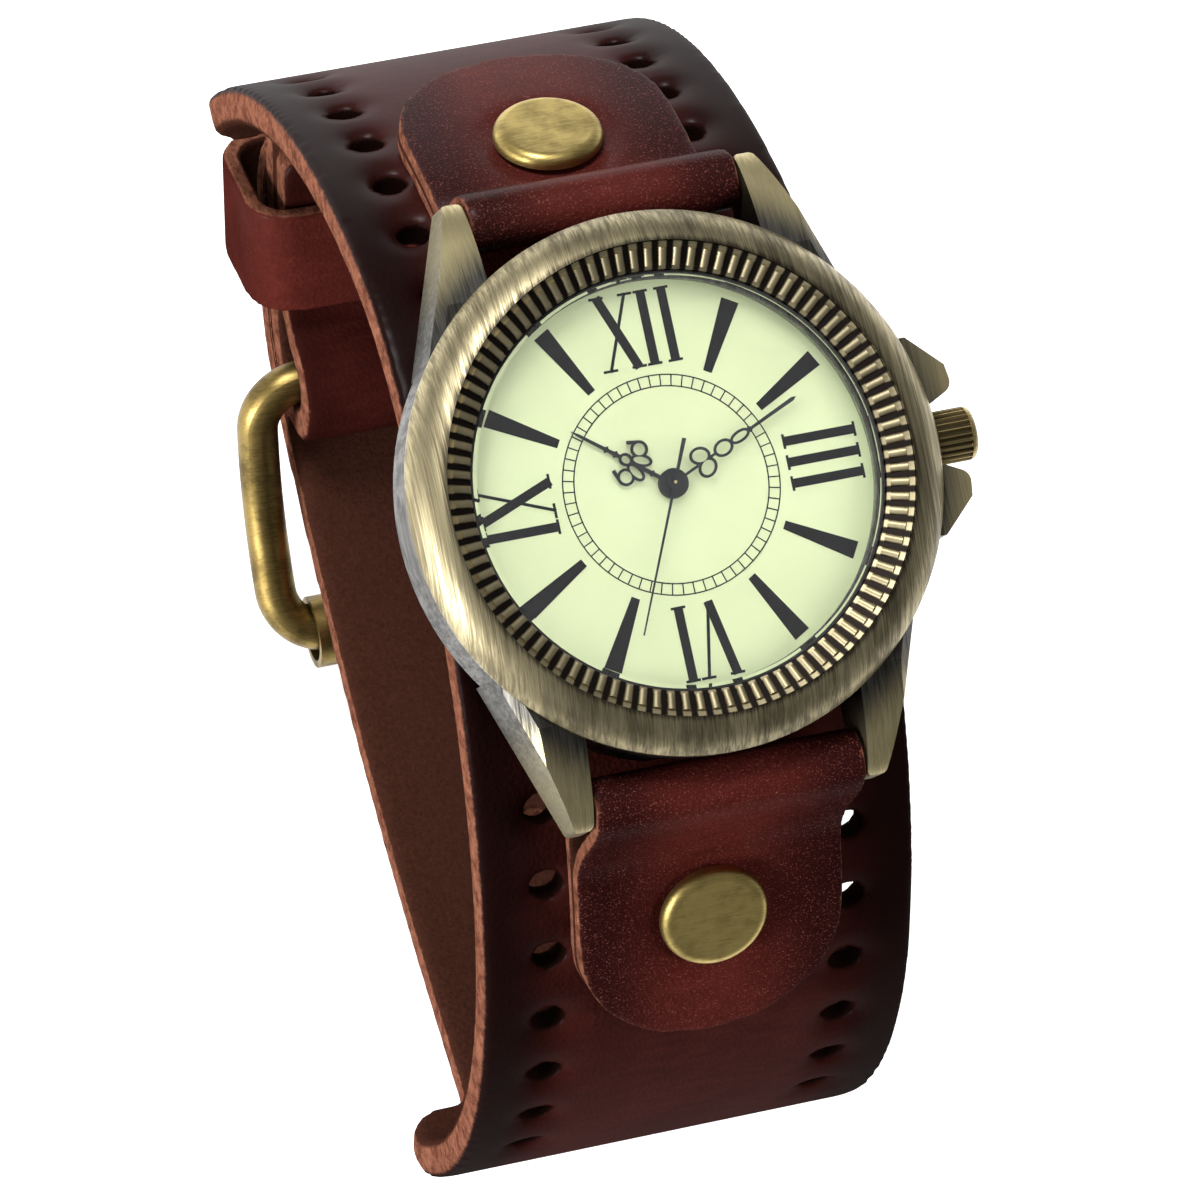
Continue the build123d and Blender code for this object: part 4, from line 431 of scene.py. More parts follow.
by_slot = {
    "steel": plain("bright_steel", (0.62, 0.62, 0.62), (0.45, 0.45, 0.46), 0.32, 1.0),
    "core_steel": plain("dull_steel", (0.42, 0.42, 0.43), (0.30, 0.30, 0.31), 0.4, 1.0),
    "gasket_rubber": plain("black_rubber", (0.025, 0.025, 0.025), (0.015, 0.015, 0.015), 0.7),
    "holder_plastic": plain("white_plastic", (0.80, 0.80, 0.77), (0.74, 0.74, 0.71), 0.5),
    "plate_brass": plain("plate_brass", (0.68, 0.56, 0.27), (0.55, 0.44, 0.2), 0.35, 1.0),
    "wheel_brass": plain("wheel_brass", (0.76, 0.62, 0.29), (0.62, 0.5, 0.22), 0.28, 1.0),
    "magnet_grey": plain("magnet", (0.2, 0.2, 0.22), (0.12, 0.12, 0.13), 0.5, 1.0),
    "coil_copper": plain("enamelled_copper", (0.55, 0.2, 0.07), (0.36, 0.11, 0.04), 0.3, 0.8, 6.0),
    "board_green": plain("board", (0.03, 0.2, 0.08), (0.02, 0.13, 0.05), 0.3),
    "case_bronze": case_finish,
    "buckle_brass": buckle_finish,
    "rivet_brass": rivet_finish,
    "dial_green": dial_finish,
    "ink_black": ink_finish,
    "hand_black": hand_finish,
    "crystal_glass": glass_finish,
}
by_node = {
    "bezel_ring": bezel_finish,
    "reeded_ring": reed_finish,
    "crown": crown_finish,
    "dial_ring": ring_finish,
}
for part in frame["record"]["subparts"]:
    finish = by_node.get(part["node"], by_slot.get(part["material_slot"]))
    if finish:
        dress(nodes[part["node"]], finish)
print("slots finished:", len(by_slot))

# %% [markdown]
# ## How the leather is laid
# Leather of one thickness is easiest as the path of its middle: straight runs and bends, seen from the
# side. A row of points across the strap is extruded along that path, which gives a clean sheet, and a
# Solidify modifier gives it its thickness. The path keeps a table of its rows, so any place on the leather
# can be found by how far along it lies.

# %% A path for leather
row_gap = 0.55


class Path:
    """A line in the YZ plane. hand is 1 where the leather's outside is on the left of the way it goes."""

    def __init__(self, y, z, degrees, hand):
        self.y, self.z, self.degrees, self.hand = y, z, degrees, hand
        self.rows = [(y, z, degrees)]

    def outward(self):
        angle = math.radians(self.degrees)
        return -self.hand * math.sin(angle), self.hand * math.cos(angle)

    def bend(self, radius, turn):
        """An arc round the inside of the leather, or round its outside where the turn is negative."""
        steps = max(3, int(radius * math.radians(abs(turn)) / row_gap))
        out_y, out_z = self.outward()
        side = -radius if turn > 0 else radius
        mid_y, mid_z = self.y + side * out_y, self.z + side * out_z
        for _ in range(steps):
            angle = math.radians(-self.hand * turn / steps)
            gap_y, gap_z = self.y - mid_y, self.z - mid_z
            self.y = mid_y + gap_y * math.cos(angle) - gap_z * math.sin(angle)
            self.z = mid_z + gap_y * math.sin(angle) + gap_z * math.cos(angle)
            self.degrees -= self.hand * turn / steps
            self.rows.append((self.y, self.z, self.degrees))
        return self

    def run(self, length):
        steps = max(2, int(length / row_gap))
        angle = math.radians(self.degrees)
        for _ in range(steps):
            self.y += length / steps * math.cos(angle)
            self.z += length / steps * math.sin(angle)
            self.rows.append((self.y, self.z, self.degrees))
        return self

    def curve(self, y, z, degrees, handle):
        """A smooth curve to a place, arriving in a direction; the handle is its Bezier handle's length."""
        leaving, arriving = math.radians(self.degrees), math.radians(degrees)
        begin, end = Vector((self.y, self.z)), Vector((y, z))
        pull = begin + handle * Vector((math.cos(leaving), math.sin(leaving)))
        push = end - handle * Vector((math.cos(arriving), math.sin(arriving)))
        steps = max(6, int((end - begin).length / row_gap))
        for number in range(1, steps + 1):
            done = number / steps
            left = 1 - done
            at = begin * left**3 + pull * 3 * done * left**2 + push * 3 * done * done * left + end * done**3
            way = (pull - begin) * left**2 + (push - pull) * 2 * done * left + (end - push) * done * done
            self.rows.append((at.x, at.y, math.degrees(math.atan2(way.y, way.x))))
        self.y, self.z, self.degrees = y, z, degrees
        return self

    def table(self):
        """Rows of y, z, outward y, outward z and the length so far."""
        rows = np.array(self.rows)
        angle = np.radians(rows[:, 2])
        length = np.concatenate(([0.0], np.cumsum(np.hypot(*np.diff(rows[:, :2], axis=0).T))))
        out = np.stack((-self.hand * np.sin(angle), self.hand * np.cos(angle)), 1)
        return np.column_stack((rows[:, :2], out, length))


def at_length(table, length, shift=0.0):
    """The place and outward direction at a length along a table of rows, moved outwards by a shift."""
    y, z, out_y, out_z = (np.interp(length, table[:, 4], table[:, column]) for column in range(4))
    return y + out_y * shift, z + out_z * shift, out_y, out_z


print("a path can bend, run and curve, in rows", row_gap, "mm apart")

# %% [markdown]
# Both paths start under the middle of the watch. The upper one goes over the wrist, steps in where the
# strap begins, and folds round the buckle's bar. The lower one is longer: its tail runs out over the fold.
# Every bend is a radius and a turn in degrees.

# %% The two paths
leather = 3.2
start_z = -10.95
bends_up = ((60, 12.5), (24, 24), (52, 51.5))
bends_down = ((34, 10), (52, 34.5), (40, 54.5), (4.6, 59))
shoulder_bend = (5, 48)
strap_run = 17
buckle_bend_radius, buckle_bend_turn = 11, 42
fold_radius = 3.65
fold_turn = 200
fold_run = 2.015
fold_back = (4, -62)
fold_end = 14.07
tail_run = 12
tail_bend = (130, 14)
tail_lift = 3.35
tail_handle = 7.4


def follow(path, bends):
    """Takes a path round a row of bends and returns their length."""
    for radius, turn in bends:
        path.bend(radius, turn)
    return sum(radius * math.radians(turn) for radius, turn in bends)


upper_path = Path(0.0, start_z, 0.0, 1)
crest = follow(upper_path, bends_up)
upper_path.bend(*shoulder_bend).run(strap_run).bend(buckle_bend_radius, buckle_bend_turn)
out_y, out_z = upper_path.outward()
bar_y, bar_z = upper_path.y - fold_radius * out_y, upper_path.z - fold_radius * out_z
tail_y, tail_z = upper_path.y + tail_lift * out_y, upper_path.z + tail_lift * out_z
tail_degrees = upper_path.degrees + 180.0
upper_table = upper_path.bend(fold_radius, fold_turn).run(fold_run).bend(*fold_back).run(fold_end).table()

lower_path = Path(0.0, start_z, 180.0, -1)
lower_front = follow(lower_path, bends_down)
lower_length = lower_path.run(tail_run).bend(*tail_bend).table()[-1, 4]
lower_path.degrees -= 360.0
lower_path.curve(tail_y, tail_z, tail_degrees, tail_handle)
lower_table = lower_path.bend(buckle_bend_radius + tail_lift, buckle_bend_turn).run(strap_run).table()
print("strap lengths:", round(upper_table[-1, 4], 1), round(lower_table[-1, 4], 1))
print("buckle bar at:", round(bar_y, 2), round(bar_z, 2))

# %% [markdown]
# The sheet itself: each new row is extruded from the last one, moved to its place and squeezed or widened
# to the strap's width there. Rounded corners are only rows that get narrower along a quarter circle, and
# the last of them keeps a little width, so that no row closes to a point.

# %% Laying a sheet
corner_share = 0.995


def next_row(mesh, edges):
    """Extrudes a row of edges and returns the points and edges of the new row."""
    grown = bmesh.ops.extrude_edge_only(mesh, edges=edges)["geom"]
    new_verts = [item for item in grown if isinstance(item, bmesh.types.BMVert)]
    new_edges = [item for item in grown if isinstance(item, bmesh.types.BMEdge)]
    return new_verts, new_edges


def lay_sheet(rows, half_width, columns):
    """A leather sheet along the rows of a table; half_width gives half its width at each row."""
    mesh = bmesh.new()
    first_y, first_z = (value * MM for value in rows[0][:2])
    ends = [mesh.verts.new((side * half_width[0] * MM, first_y, first_z)) for side in (-1, 1)]
    bmesh.ops.subdivide_edges(mesh, edges=[mesh.edges.new(ends)], cuts=columns - 1)
    edges = list(mesh.edges)
    for number in range(1, len(rows)):
        verts, edges = next_row(mesh, edges)
        step = [(rows[number][axis] - rows[number - 1][axis]) * MM for axis in (0, 1)]
        bmesh.ops.translate(mesh, verts=verts, vec=(0, *step))
        bmesh.ops.scale(mesh, verts=verts, vec=(half_width[number] / half_width[number - 1], 1, 1))
    return mesh


def rounded(full, radius, gap):
    """Half the width of a strip at a gap before its end, where its corners have a radius."""
    inside = np.clip(radius - gap, 0.0, radius)
    return full - (radius - np.sqrt(np.maximum(radius**2 - inside**2, 0.0))) * corner_share


def as_object(name, mesh, *modifiers):
    """A bmesh as an object, with its modifiers applied."""
    data = bpy.data.meshes.new(name)
    mesh.to_mesh(data)
    mesh.free()
    piece = bpy.data.objects.new(name, data)
    bpy.context.scene.collection.objects.link(piece)
    for kind, settings in modifiers:
        modifier = piece.modifiers.new(kind.lower(), kind)
        for key, value in settings.items():
            setattr(modifier, key, value)
    bpy.context.view_layer.update()
    baked = bpy.data.meshes.new_from_object(piece.evaluated_get(bpy.context.evaluated_depsgraph_get()))
    piece.modifiers.clear()
    piece.data = baked
    bpy.data.meshes.remove(data)
    return piece


def thick(value):
    return ("SOLIDIFY", {"thickness": value * MM, "offset": 0.0, "use_even_offset": True})


print("a sheet is laid row by row")

# %% [markdown]
# The wide part of the cuff takes up the start of both paths. Each of its shoulders lies a little past the
# bends over the wrist.

# %% The wide part
cuff_half_width = 17.75
shoulder_radius = 3.2
upper_shoulder = crest + 3.3
lower_shoulder = lower_front + 0.8
wide_columns = 48

up = upper_table[upper_table[:, 4] < upper_shoulder][::-1]
down = lower_table[(lower_table[:, 4] < lower_shoulder) & (lower_table[:, 4] > 0)]
gaps = np.concatenate((upper_shoulder - up[:, 4], lower_shoulder - down[:, 4]))
wide_width = rounded(cuff_half_width, shoulder_radius, gaps)
wide_mesh = lay_sheet((*up, *down), wide_width, wide_columns)
wide_sheet = as_object("wide_sheet", wide_mesh, thick(leather))
print("wide part:", len(wide_sheet.data.polygons), "faces")

# %% [markdown]
# The narrow strap starts under the wide part. Its upper end goes round the buckle's bar and back; its lower
# end is the long tail, with a rounded tip, that runs over the fold and through the keeper.

# %% Strap ends
strap_half_width = 12.5
strap_columns = 36
under_wide = 3.4
fold_tip_radius = 1.0
tail_tip_radius = 7.0


def narrow_sheet(name, table, first, tip_radius):
    part = table[table[:, 4] > first]
    width = rounded(strap_half_width, tip_radius, part[-1, 4] - part[:, 4])
    return as_object(name, lay_sheet(part, width, strap_columns), thick(leather))


fold_sheet = narrow_sheet("fold_sheet", upper_table, upper_shoulder - under_wide, fold_tip_radius)
tail_sheet = narrow_sheet("tail_sheet", lower_table, lower_shoulder - under_wide, tail_tip_radius)
print("fold:", len(fold_sheet.data.polygons), "tail:", len(tail_sheet.data.polygons), "faces")

# %% [markdown]
# ## Punching the holes
# On the bench a round punch goes through the leather square to its surface. Here each punch is a cylinder
# turned to the leather's outward direction, and a Boolean takes all of them away in one go.

# %% Punches
punch_length = 8
punch_sides = 28


def punch(mesh, x, place, radius, long=0.0):
    """Adds a punch at a place, which also says which way is outwards; long stretches it into a slot."""
    y, z, out_y, out_z = place
    turned = Vector((0, out_y, out_z)).to_track_quat("Z", "Y").to_matrix().to_4x4()
    where = Matrix.Translation((x * MM, y * MM, z * MM)) @ turned
    size = {"radius1": radius * MM, "radius2": radius * MM, "depth": punch_length * MM}
    made = bmesh.ops.create_cone(mesh, cap_ends=True, segments=punch_sides, matrix=where, **size)["verts"]
    if long:
        for vert in made:
            vert.co.y += math.copysign(long / 2 - radius, vert.co.y / MM - y) * MM


def take_away(piece, mesh):
    """The piece made again, with what the mesh fills cut out of it."""
    tool = as_object("punches", mesh)
    settings = {"operation": "DIFFERENCE", "object": tool, "solver": "EXACT"}
    whole = bmesh.new()
    whole.from_mesh(piece.data)
    name = piece.name
    bpy.data.objects.remove(piece)
    cut = as_object(name, whole, ("BOOLEAN", settings))
    bpy.data.objects.remove(tool)
    return cut


print("a punch is", punch_length, "mm long")

# %% [markdown]
# The wide part has two rows of small holes down each half and a hole for each rivet's post.

# %% Holes in the wide part
hole_radius = 1.35
hole_side = 12.3
hole_pitch = 6.5
holes_in_row = 7
upper_first_hole, lower_first_hole = 19.0, 22.0
upper_rivet, lower_rivet = 29.8, 31.5
post_hole_radius = 1.3

holes = []
punches = bmesh.new()
for table, first in ((upper_table, upper_first_hole), (lower_table, lower_first_hole)):
    for number in range(holes_in_row):
        for side in (-hole_side, hole_side):
            place = at_length(table, first + hole_pitch * number)
            punch(punches, side, place, hole_radius)
            holes.append((side, place[0], place[1]))
rivet_places = [at_length(upper_table, upper_rivet), at_length(lower_table, lower_rivet)]
for place in rivet_places:
    punch(punches, 0.0, place, post_hole_radius)
wide_sheet = take_away(wide_sheet, punches)
print("punched holes:", len(holes), "and", len(rivet_places), "rivet holes")

# %% [markdown]
# The tail has the holes that the prong can go through, and a slot where it does. The fold has an opening in
# its middle, which lets the prong's eye sit on the bar.

# %% Holes in the strap
tail_hole_radius = 1.7
tail_hole_pitch = 9.0
tail_hole_start = 1.6
tail_hole_count = 3
slot_from_bar = 7.35
slot_length = 7.6
fold_opening = (3.32, 11.46, 10.65)
fold_opening_shift = 0.48

tail_punches = bmesh.new()
for number in range(tail_hole_count):
    length = lower_length - tail_hole_start - tail_hole_pitch * number
    punch(tail_punches, 0.0, at_length(lower_table, length), tail_hole_radius)
slot_row = lower_table[lower_table[:, 4] > lower_length]
slot_row = slot_row[np.argmin(abs(slot_row[:, 0] - (bar_y - slot_from_bar)))]
punch(tail_punches, 0.0, (slot_row[0], slot_row[1], 0.0, -1.0), tail_hole_radius, slot_length)
tail_sheet = take_away(tail_sheet, tail_punches)

opening = bmesh.new()
bmesh.ops.create_cube(opening, size=1.0)
bmesh.ops.scale(opening, verts=opening.verts, vec=[size * MM for size in fold_opening])
opening_place = (0, (bar_y - fold_opening_shift) * MM, bar_z * MM)
bmesh.ops.translate(opening, verts=opening.verts, vec=opening_place)
fold_sheet = take_away(fold_sheet, opening)
print("tail holes:", tail_hole_count, "slot:", slot_length, "mm long")

# %% [markdown]
# ## One hide from three sheets
# A voxel remesh joins the overlapping sheets into one skin and rounds nothing, so a few passes of smoothing
# follow: they ease the cut edges and the rims of the holes as wax and rubbing do on the real cuff. The
# voxels are half a millimetre across. The voxels are about as small as they can be with the cuff under
# 200,000 triangles.

# %% Joining and easing
def one_skin(name, pieces, voxel, passes):
    mesh = bmesh.new()
    for piece in pieces:
        mesh.from_mesh(piece.data)
        bpy.data.objects.remove(piece)
    settings = {"mode": "VOXEL", "voxel_size": voxel * MM, "adaptivity": 0.0, "use_smooth_shade": True}
    skin = as_object(name, mesh, ("REMESH", settings))
    mesh = bmesh.new()
    mesh.from_mesh(skin.data)
    axes = {"use_axis_x": True, "use_axis_y": True, "use_axis_z": True}
    for _ in range(passes):
        bmesh.ops.smooth_vert(mesh, verts=mesh.verts, factor=0.5, **axes)
    mesh.to_mesh(skin.data)
    mesh.free()
    skin.data.polygons.foreach_set("use_smooth", [True] * len(skin.data.polygons))
    return skin


cuff = one_skin("cuff_leather", [wide_sheet, fold_sheet, tail_sheet], voxel=0.5, passes=3)
print("cuff:", len(cuff.data.polygons), "faces")

# %% [markdown]
# A remesh forgets which side of the leather was which, and the finish needs to know. So each point looks up
# the nearest row of the path and notes how far it is from the leather's middle: 1 is the outside, -1 the
# inside. It also notes how far the nearest punched hole is.

# %% Telling the sides apart
points_at_once = 4000
far_from_holes = 99.0


def spread(values, target, name):
    """Writes one number on each point of a piece, as an attribute that a material can read."""
    layer = target.data.attributes.new(name, "FLOAT", "POINT")
    layer.data.foreach_set("value", np.asarray(values, dtype=np.float32))


def corners(piece):
    flat = np.zeros(len(piece.data.vertices) * 3, np.float32)
    piece.data.vertices.foreach_get("co", flat)
    return flat.reshape(-1, 3) / MM


def read_leather(piece, tables, half):
    """The points of a piece, the nearest row of the path to each, and its side, which is also written."""
    points = corners(piece)
    rows = np.concatenate(tables)
    best = np.empty(len(points), dtype=int)
    for first in range(0, len(points), points_at_once):
        part = points[first : first + points_at_once, 1:]
        gap = (part[:, None, 0] - rows[None, :, 0]) ** 2 + (part[:, None, 1] - rows[None, :, 1]) ** 2
        best[first : first + points_at_once] = gap.argmin(axis=1)
    near = rows[best]
    shift = (points[:, 1] - near[:, 0]) * near[:, 2] + (points[:, 2] - near[:, 1]) * near[:, 3]
    spread(shift / half, piece, "side")
    return points, near, shift / half


points, near, side = read_leather(cuff, (upper_table, lower_table), leather / 2)
hole_gap = np.full(len(points), far_from_holes)
for hole in holes:
    hole_gap = np.minimum(hole_gap, np.linalg.norm(points - np.array(hole), axis=1))
spread(hole_gap, cuff, "hole")
print("side from", round(float(side.min()), 2), "to", round(float(side.max()), 2))

# %% [markdown]
# Close to each punched hole the leather was pressed in, which leaves a soft ring that catches the light.
# The points near a hole are moved a little way in, most at its rim.

# %% Pressed rims
rim_depth = 0.34
rim_radius = 1.9
rim_softness = 1.1


def hollow(gap, radius, softness):
    """1 up to a radius from the middle of a hollow, and fading out softly past it."""
    return np.exp(-(np.maximum(gap - radius, 0.0) ** 2) / softness)


def sink(piece, points, near, depth):
    """Moves the points of a piece into its leather by a depth."""
    points[:, 1:] -= depth[:, None] * near[:, 2:4]
    piece.data.vertices.foreach_set("co", (points * MM).astype(np.float32).ravel())
    piece.data.update()


depth = rim_depth * hollow(hole_gap, rim_radius, rim_softness) * np.clip(side, 0.0, 1.0)
sink(cuff, points, near, depth)
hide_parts("cuff_band")
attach(cuff, "watch")
print("pressed points:", int((depth > 0.05).sum()))

# %% [markdown]
# ## The leather's finish
# Three surfaces of the same hide look quite different. The grain side is waxed and burnished nearly black
# at its edges, the inside is rough suede, and the cut edge between them shows bare pale fibres. Inside the
# punched holes that cut edge is painted nearly black, a painted shade, and pale flecks on the grain are
# painted glints. The side written on every point above chooses between the three. Wax is a thin clear coat,
# thicker in front towards twelve o'clock, where the real cuff shines most.

# %% Leather finish
# Pale flecks on the grain are painted glints of its pores.
glint_colour = (0.25, 0.075, 0.06)
suede_dark, suede_light = (0.012, 0.0048, 0.0035), (0.080, 0.029, 0.018)
fibre_dark, fibre_light = (0.085, 0.027, 0.017), (0.27, 0.110, 0.066)
# Nearly black inside the punched holes: painted shade.
hole_shade = (0.010, 0.004, 0.003)
hole_shade_reach = (2.0, 2.8)
front_heights = (-66.0, -46.0)
towards_twelve = (0.0, 32.0)


def waxed_leather(name, heart, rim, burnish, half_width, gloss=0.36, glint_share=0.0):
    """heart is the colour in the middle and rim at the edges; burnish is how wide the dark edge is."""
    finish = Finish(name, Coat_Roughness=0.34, Specular_IOR_Level=0.0)
    side, hole = finish.attribute("side"), finish.attribute("hole")
    where = finish.place()
    fibre = finish.noise(where, 2.6, 5.0, 0.7)
    pore = finish.node("ShaderNodeTexVoronoi", {"feature": "F1"}, Vector=where, Scale=2.4)
    wrinkle = finish.noise(finish.place((0.35, 1.4, 1.4)), 0.9, 5.0, 0.62)
    cloud = finish.noise(where, 0.10, 4.0, 0.6)
    wander = (cloud - 0.5) * 5.0 + (wrinkle - 0.5) * 1.6
    off = finish.node("ShaderNodeMath", {"operation": "ABSOLUTE"}, finish.along(0))
    near_rim = finish.step(off + wander, half_width - burnish * 1.6, half_width - burnish * 0.25)
    light = finish.step(cloud * 0.5 + wrinkle * 0.5, 0.40, 0.66) * 0.5
    grain = finish.mix(light, heart, tuple(1.9 * value for value in heart))
    grain = finish.mix(near_rim, grain, rim)
    # Small pale flecks: painted glints where the grain's pores catch the light.
    painted_glint = finish.step(finish.noise(where, 6.5, 2.0, 0.7), 0.56, 0.72) * glint_share
    grain = finish.mix(painted_glint, grain, glint_colour)
    suede = finish.mix(fibre, suede_dark, suede_light)
    strand = finish.noise(finish.place((1.0, 0.5, 0.5)), 1.6, 5.0, 0.75)
    raw = finish.mix(finish.step(strand, 0.30, 0.70), fibre_dark, fibre_light)
    # Inside the punched holes the cut edge takes the painted shade.
    raw = finish.mix(finish.step(hole, *hole_shade_reach), hole_shade, raw)
    rough_edge = side + (fibre - 0.5) * 0.34
    outer = finish.step(rough_edge, 0.60, 0.84)
    inner = finish.step(rough_edge * -1.0, 0.52, 0.78)
    finish.to("Base Color", finish.mix(inner, finish.mix(outer, raw, grain), suede))
    finish.to("Roughness", 0.92 - outer * (0.92 - gloss) + (pore - 0.3) * 0.14)
    front = finish.step(finish.along(2), *front_heights)
    wax = finish.step(finish.along(1), *towards_twelve) * 0.17 + 0.04
    finish.to("Coat Weight", outer * (wax * front + 0.004))
    height = (pore * 0.6 + wrinkle * 0.2 + fibre * 0.4) * outer + fibre * 3.4 * (1.0 - outer)
    finish.to("Normal", finish.bump(height, 0.14, 0.6))
    return finish.material


cuff_finish = waxed_leather(
    "waxed_cuff", (0.036, 0.0072, 0.0055), (0.009, 0.0028, 0.0024), burnish=6.0, half_width=cuff_half_width
)
dress(cuff, cuff_finish)
print("finish on", cuff.name)

# %% [markdown]
# ## The two tabs
# Each tab is one strip of thinner leather: it starts under its own top layer, climbs off the cuff, turns
# round the spring bar and comes back over itself to a round end. The same path tools lay it. Its two layers
# follow the cuff at a height above the cuff's middle.

# %% The path of a tab
tab_thickness = 1.4
tab_wrap = 1.65
tab_start, tab_end = 39.6, 43.0
tab_foot = 25.2
upper_tab_landing, lower_tab_landing = tab_foot, 27.6
under, over = 2.375, 3.85
spring_bar_reach, spring_bar_height = 22.9, -6.3
climb_degrees = 68.0
tab_row_gap = 0.5
tab_handle = 3.6


def tab_rows(table, hand, landing):
    """From the hidden end round the spring bar to the round end, which starts at the landing."""
    heading = math.radians(climb_degrees)
    bar = Vector((hand * spring_bar_reach, spring_bar_height))
    out = Vector((hand * math.sin(heading), math.cos(heading)))
    climb = Vector((-hand * math.cos(heading), math.sin(heading)))
    path = Path(0.0, 0.0, 0.0, hand)
    path.rows = []
    for length in (*np.arange(tab_start, tab_foot, -tab_row_gap), tab_foot):
        path.y, path.z, out_y, out_z = at_length(table, length, under)
        path.degrees = math.degrees(math.atan2(hand * out_y, -hand * out_z))
        path.rows.append((path.y, path.z, path.degrees))
    wrap_start = bar - out * tab_wrap
    path.curve(wrap_start.x, wrap_start.y, math.degrees(math.atan2(climb.y, climb.x)), tab_handle)
    path.bend(tab_wrap, 180)
    y, z, out_y, out_z = at_length(table, landing, over)
    path.curve(y, z, math.degrees(math.atan2(-hand * out_y, hand * out_z)), tab_handle)
    for length in np.arange(landing + tab_row_gap, tab_end, tab_row_gap):
        y, z, out_y, out_z = at_length(table, length, over)
        path.rows.append((y, z, math.degrees(math.atan2(-hand * out_y, hand * out_z))))
    return path.table()


upper_tab_rows = tab_rows(upper_table, 1, upper_tab_landing)
lower_tab_rows = tab_rows(lower_table, -1, lower_tab_landing)
print("tab strips:", round(upper_tab_rows[-1, 4], 1), round(lower_tab_rows[-1, 4], 1), "mm long")

# %% [markdown]
# A tab is cut, punched for its rivet and eased as the cuff was. Then the rivet's cap is pressed into it:
# the outer layer sinks under the cap and rises softly round it.

# %% Making the tabs
tab_half_width = 10.8
tab_corner = 6.0
least_half_width = 0.4
tab_columns = 40
tab_middle = 3.1
cap_height = 4.5
cap_radius = 4.3
press_depth = 0.42
press_softness = 1.6
outer_layer = 0.2


def make_tab(name, table, rows, node, rivet):
    round_end = rounded(tab_half_width, tab_half_width, rows[-1, 4] - rows[:, 4])
    hidden_end = rounded(tab_half_width, tab_corner, rows[:, 4])
    width = np.maximum(np.minimum(round_end, hidden_end), least_half_width)
    sheet = as_object(name, lay_sheet(rows, width, tab_columns), thick(tab_thickness))
    tools = bmesh.new()
    punch(tools, 0.0, at_length(table, rivet, tab_middle), post_hole_radius)
    sheet = take_away(sheet, tools)
    tab = one_skin(name, [sheet], voxel=0.3, passes=4)
    points, near, side = read_leather(tab, (rows,), tab_thickness / 2)
    cap_y, cap_z = at_length(table, rivet, cap_height)[:2]
    reach = np.linalg.norm(points - np.array((0.0, cap_y, cap_z)), axis=1)
    sink(tab, points, near, press_depth * hollow(reach, cap_radius, press_softness) * (side > outer_layer))
    spread(np.full(len(points), far_from_holes), tab, "hole")
    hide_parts(node)
    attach(tab, "watch")
    return tab


tab_finish = waxed_leather(
    "waxed_tab",
    (0.066, 0.011, 0.0085),
    (0.022, 0.0045, 0.004),
    burnish=5.5,
    half_width=tab_half_width,
    glint_share=0.75,
)
upper_tab = make_tab("upper_tab_leather", upper_table, upper_tab_rows, "upper_tab", upper_rivet)
lower_tab = make_tab("lower_tab_leather", lower_table, lower_tab_rows, "lower_tab", lower_rivet)
for tab in (upper_tab, lower_tab):
    dress(tab, tab_finish)
print("tabs:", len(upper_tab.data.polygons), len(lower_tab.data.polygons), "faces")

# %% [markdown]
# ## The keeper
# The keeper is a short band of thin leather bent into a closed loop. Its outline is a rectangle whose
# corners are rounded with a vertex bevel; extruded along the strap and given thickness, it is the loop.

# %% The keeper's place
keeper_inner = (28.4, 10.7)
keeper_thickness = 1.5
keeper_length = 9.6
keeper_corner = 3.15
keeper_past_shoulder = 4.3
corner_segments = 8
keeper_divisions = 12
longest_corner_edge = 3

keeper_width, keeper_height = (size + keeper_thickness for size in keeper_inner)
shoulder_length = shoulder_bend[0] * math.radians(shoulder_bend[1])
keeper_start = at_length(upper_table, crest + shoulder_length + keeper_past_shoulder)
keeper_heading = math.radians(sum(turn for _, turn in (*bends_up, shoulder_bend)))
along_strap = (0, math.cos(keeper_heading), -math.sin(keeper_heading))
off_strap = (0, math.sin(keeper_heading), math.cos(keeper_heading))
keeper_turn = Matrix(((1, 0, 0), off_strap, along_strap)).transposed()
keeper_place = Matrix.Translation((0, keeper_start[0] * MM, keeper_start[1] * MM)) @ keeper_turn.to_4x4()
print("keeper starts at:", round(keeper_start[0], 1), round(keeper_start[1], 1))

# %% [markdown]
# Once it is one skin, a point's side comes from the rounded rectangle: how far it lies outside the middle
# of the band, measured in the keeper's own directions.

# %% Making the keeper
def keeper_band():
    mesh = bmesh.new()
    bmesh.ops.create_grid(mesh, x_segments=1, y_segments=1, size=0.5)
    bmesh.ops.scale(mesh, verts=mesh.verts, vec=(keeper_width * MM, keeper_height * MM, 1))
    shape = {"segments": corner_segments, "profile": 0.5, "affect": "VERTICES", "material": -1}
    bmesh.ops.bevel(mesh, geom=list(mesh.verts), offset=keeper_corner * MM, **shape)
    bmesh.ops.delete(mesh, geom=list(mesh.faces), context="FACES_ONLY")
    straight = [edge for edge in mesh.edges if edge.calc_length() > longest_corner_edge * MM]
    bmesh.ops.subdivide_edges(mesh, edges=straight, cuts=keeper_divisions)
    edges = list(mesh.edges)
    for _ in range(keeper_divisions):
        verts, edges = next_row(mesh, edges)
        bmesh.ops.translate(mesh, verts=verts, vec=(0, 0, keeper_length / keeper_divisions * MM))
    bmesh.ops.transform(mesh, matrix=keeper_place, verts=mesh.verts)
    bmesh.ops.recalc_face_normals(mesh, faces=mesh.faces)
    return as_object("keeper_sheet", mesh, thick(keeper_thickness))


